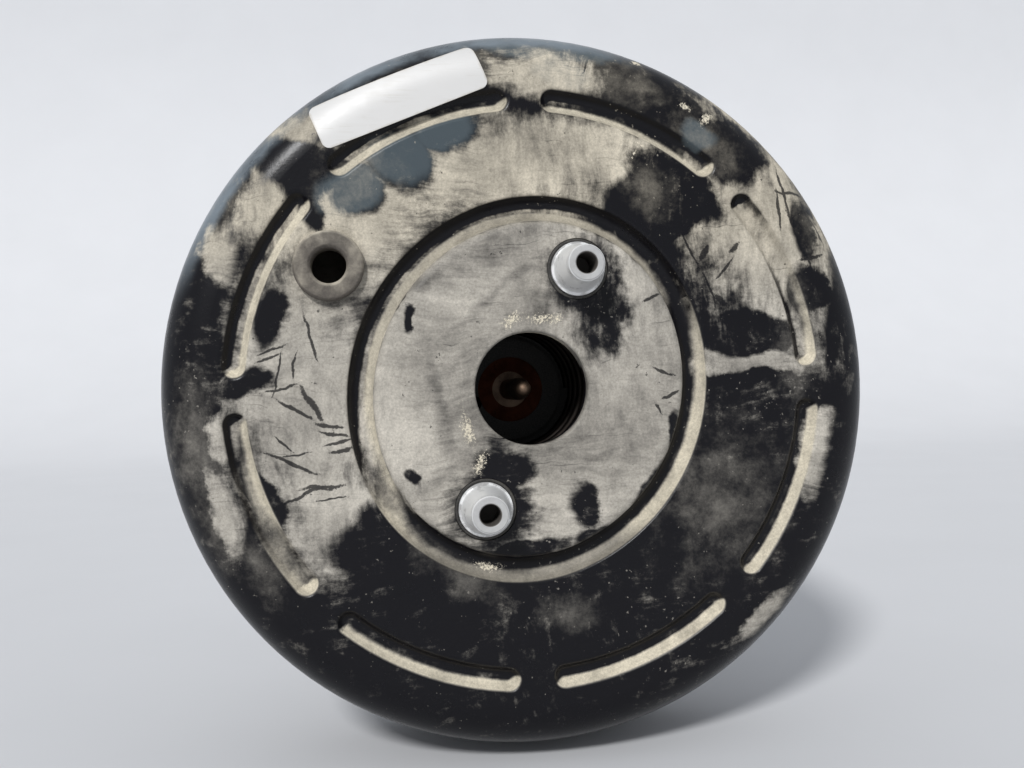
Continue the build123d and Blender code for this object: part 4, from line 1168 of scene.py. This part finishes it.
class BOOSTER_OT_stage(bpy.types.Operator):
    """Set the floor, backdrop, lights and camera"""

    bl_idname = "booster.stage"
    bl_label = "Stage"

    def execute(self, context):
        scene = context.scene
        low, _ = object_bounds()
        far_side = 1.0
        bpy.ops.object.select_all(action="DESELECT")
        bpy.ops.mesh.primitive_plane_add(size=FLOOR_SIZE, location=(0, 0, low.z))
        floor = context.object
        floor.name = "floor"
        bpy.ops.object.transform_apply()
        begin_edit(floor, "EDGE")
        end_edit()
        for edge in floor.data.edges:
            edge.select = all(floor.data.vertices[v].co.y > far_side for v in edge.vertices)
        bpy.ops.object.mode_set(mode="EDIT")
        bpy.ops.mesh.extrude_edges_move(TRANSFORM_OT_translate={"value": (0, 0, WALL_HEIGHT)})
        end_edit()
        apply_modifier(floor, "BEVEL", width=WALL_SWEEP, segments=16, limit_method="ANGLE")
        bpy.ops.object.shade_smooth()
        floor.data.materials.append(floor_finish(look()))
        floor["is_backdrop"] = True
        world = bpy.data.worlds.new("StageLight")
        scene.world = world
        world.use_nodes = True
        background = world.node_tree.nodes["Background"]
        background.inputs["Color"].default_value = SKY
        background.inputs["Strength"].default_value = SKY_STRENGTH
        sun = bpy.data.lights.new("sun", "SUN")
        sun.energy = SUN_STRENGTH
        sun.angle = SUN_SPREAD
        holder = bpy.data.objects.new("sun", sun)
        scene.collection.objects.link(holder)
        holder.rotation_euler = Vector(SUN_DIRECTION).to_track_quat("-Z", "Y").to_euler()
        camera = bpy.data.objects.new("camera", bpy.data.cameras.new("camera"))
        scene.collection.objects.link(camera)
        camera.data.lens = CAMERA_LENS
        camera.data.sensor_width = CAMERA_SENSOR
        camera.data.clip_start = 0.01
        camera.location = CAMERA_PLACE
        camera.rotation_euler = Euler([math.radians(turn) for turn in CAMERA_TURNS])
        scene.camera = camera
        scene.view_settings.view_transform = "Standard"
        return {"FINISHED"}


class BOOSTER_PT_panel(bpy.types.Panel):
    """Buttons for every piece of the booster"""

    bl_idname = "BOOSTER_PT_panel"
    bl_label = "Brake Booster"
    bl_space_type = "VIEW_3D"
    bl_region_type = "UI"
    bl_category = "Booster"

    def draw(self, context):
        for operator in OPERATORS:
            self.layout.operator(operator.bl_idname)


OPERATORS = (
    BOOSTER_OT_shells,
    BOOSTER_OT_metalwork,
    BOOSTER_OT_mouldings,
    BOOSTER_OT_seals,
    BOOSTER_OT_boot,
    BOOSTER_OT_diaphragm,
    BOOSTER_OT_label,
    BOOSTER_OT_threads,
    BOOSTER_OT_springs,
    BOOSTER_OT_stage,
)
CLASSES = (BoosterLook, BoosterSizes, *OPERATORS, BOOSTER_PT_panel)


def register():
    for each in CLASSES:
        bpy.utils.register_class(each)
    bpy.types.Scene.booster_look = PointerProperty(type=BoosterLook)
    bpy.types.Scene.booster_sizes = PointerProperty(type=BoosterSizes)


def unregister():
    del bpy.types.Scene.booster_sizes
    del bpy.types.Scene.booster_look
    for each in reversed(CLASSES):
        bpy.utils.unregister_class(each)


def main():
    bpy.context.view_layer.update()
    register()
    for operator in OPERATORS:
        group, action = operator.bl_idname.split(".")
        getattr(getattr(bpy.ops, group), action)()


if __name__ == "__main__":
    main()
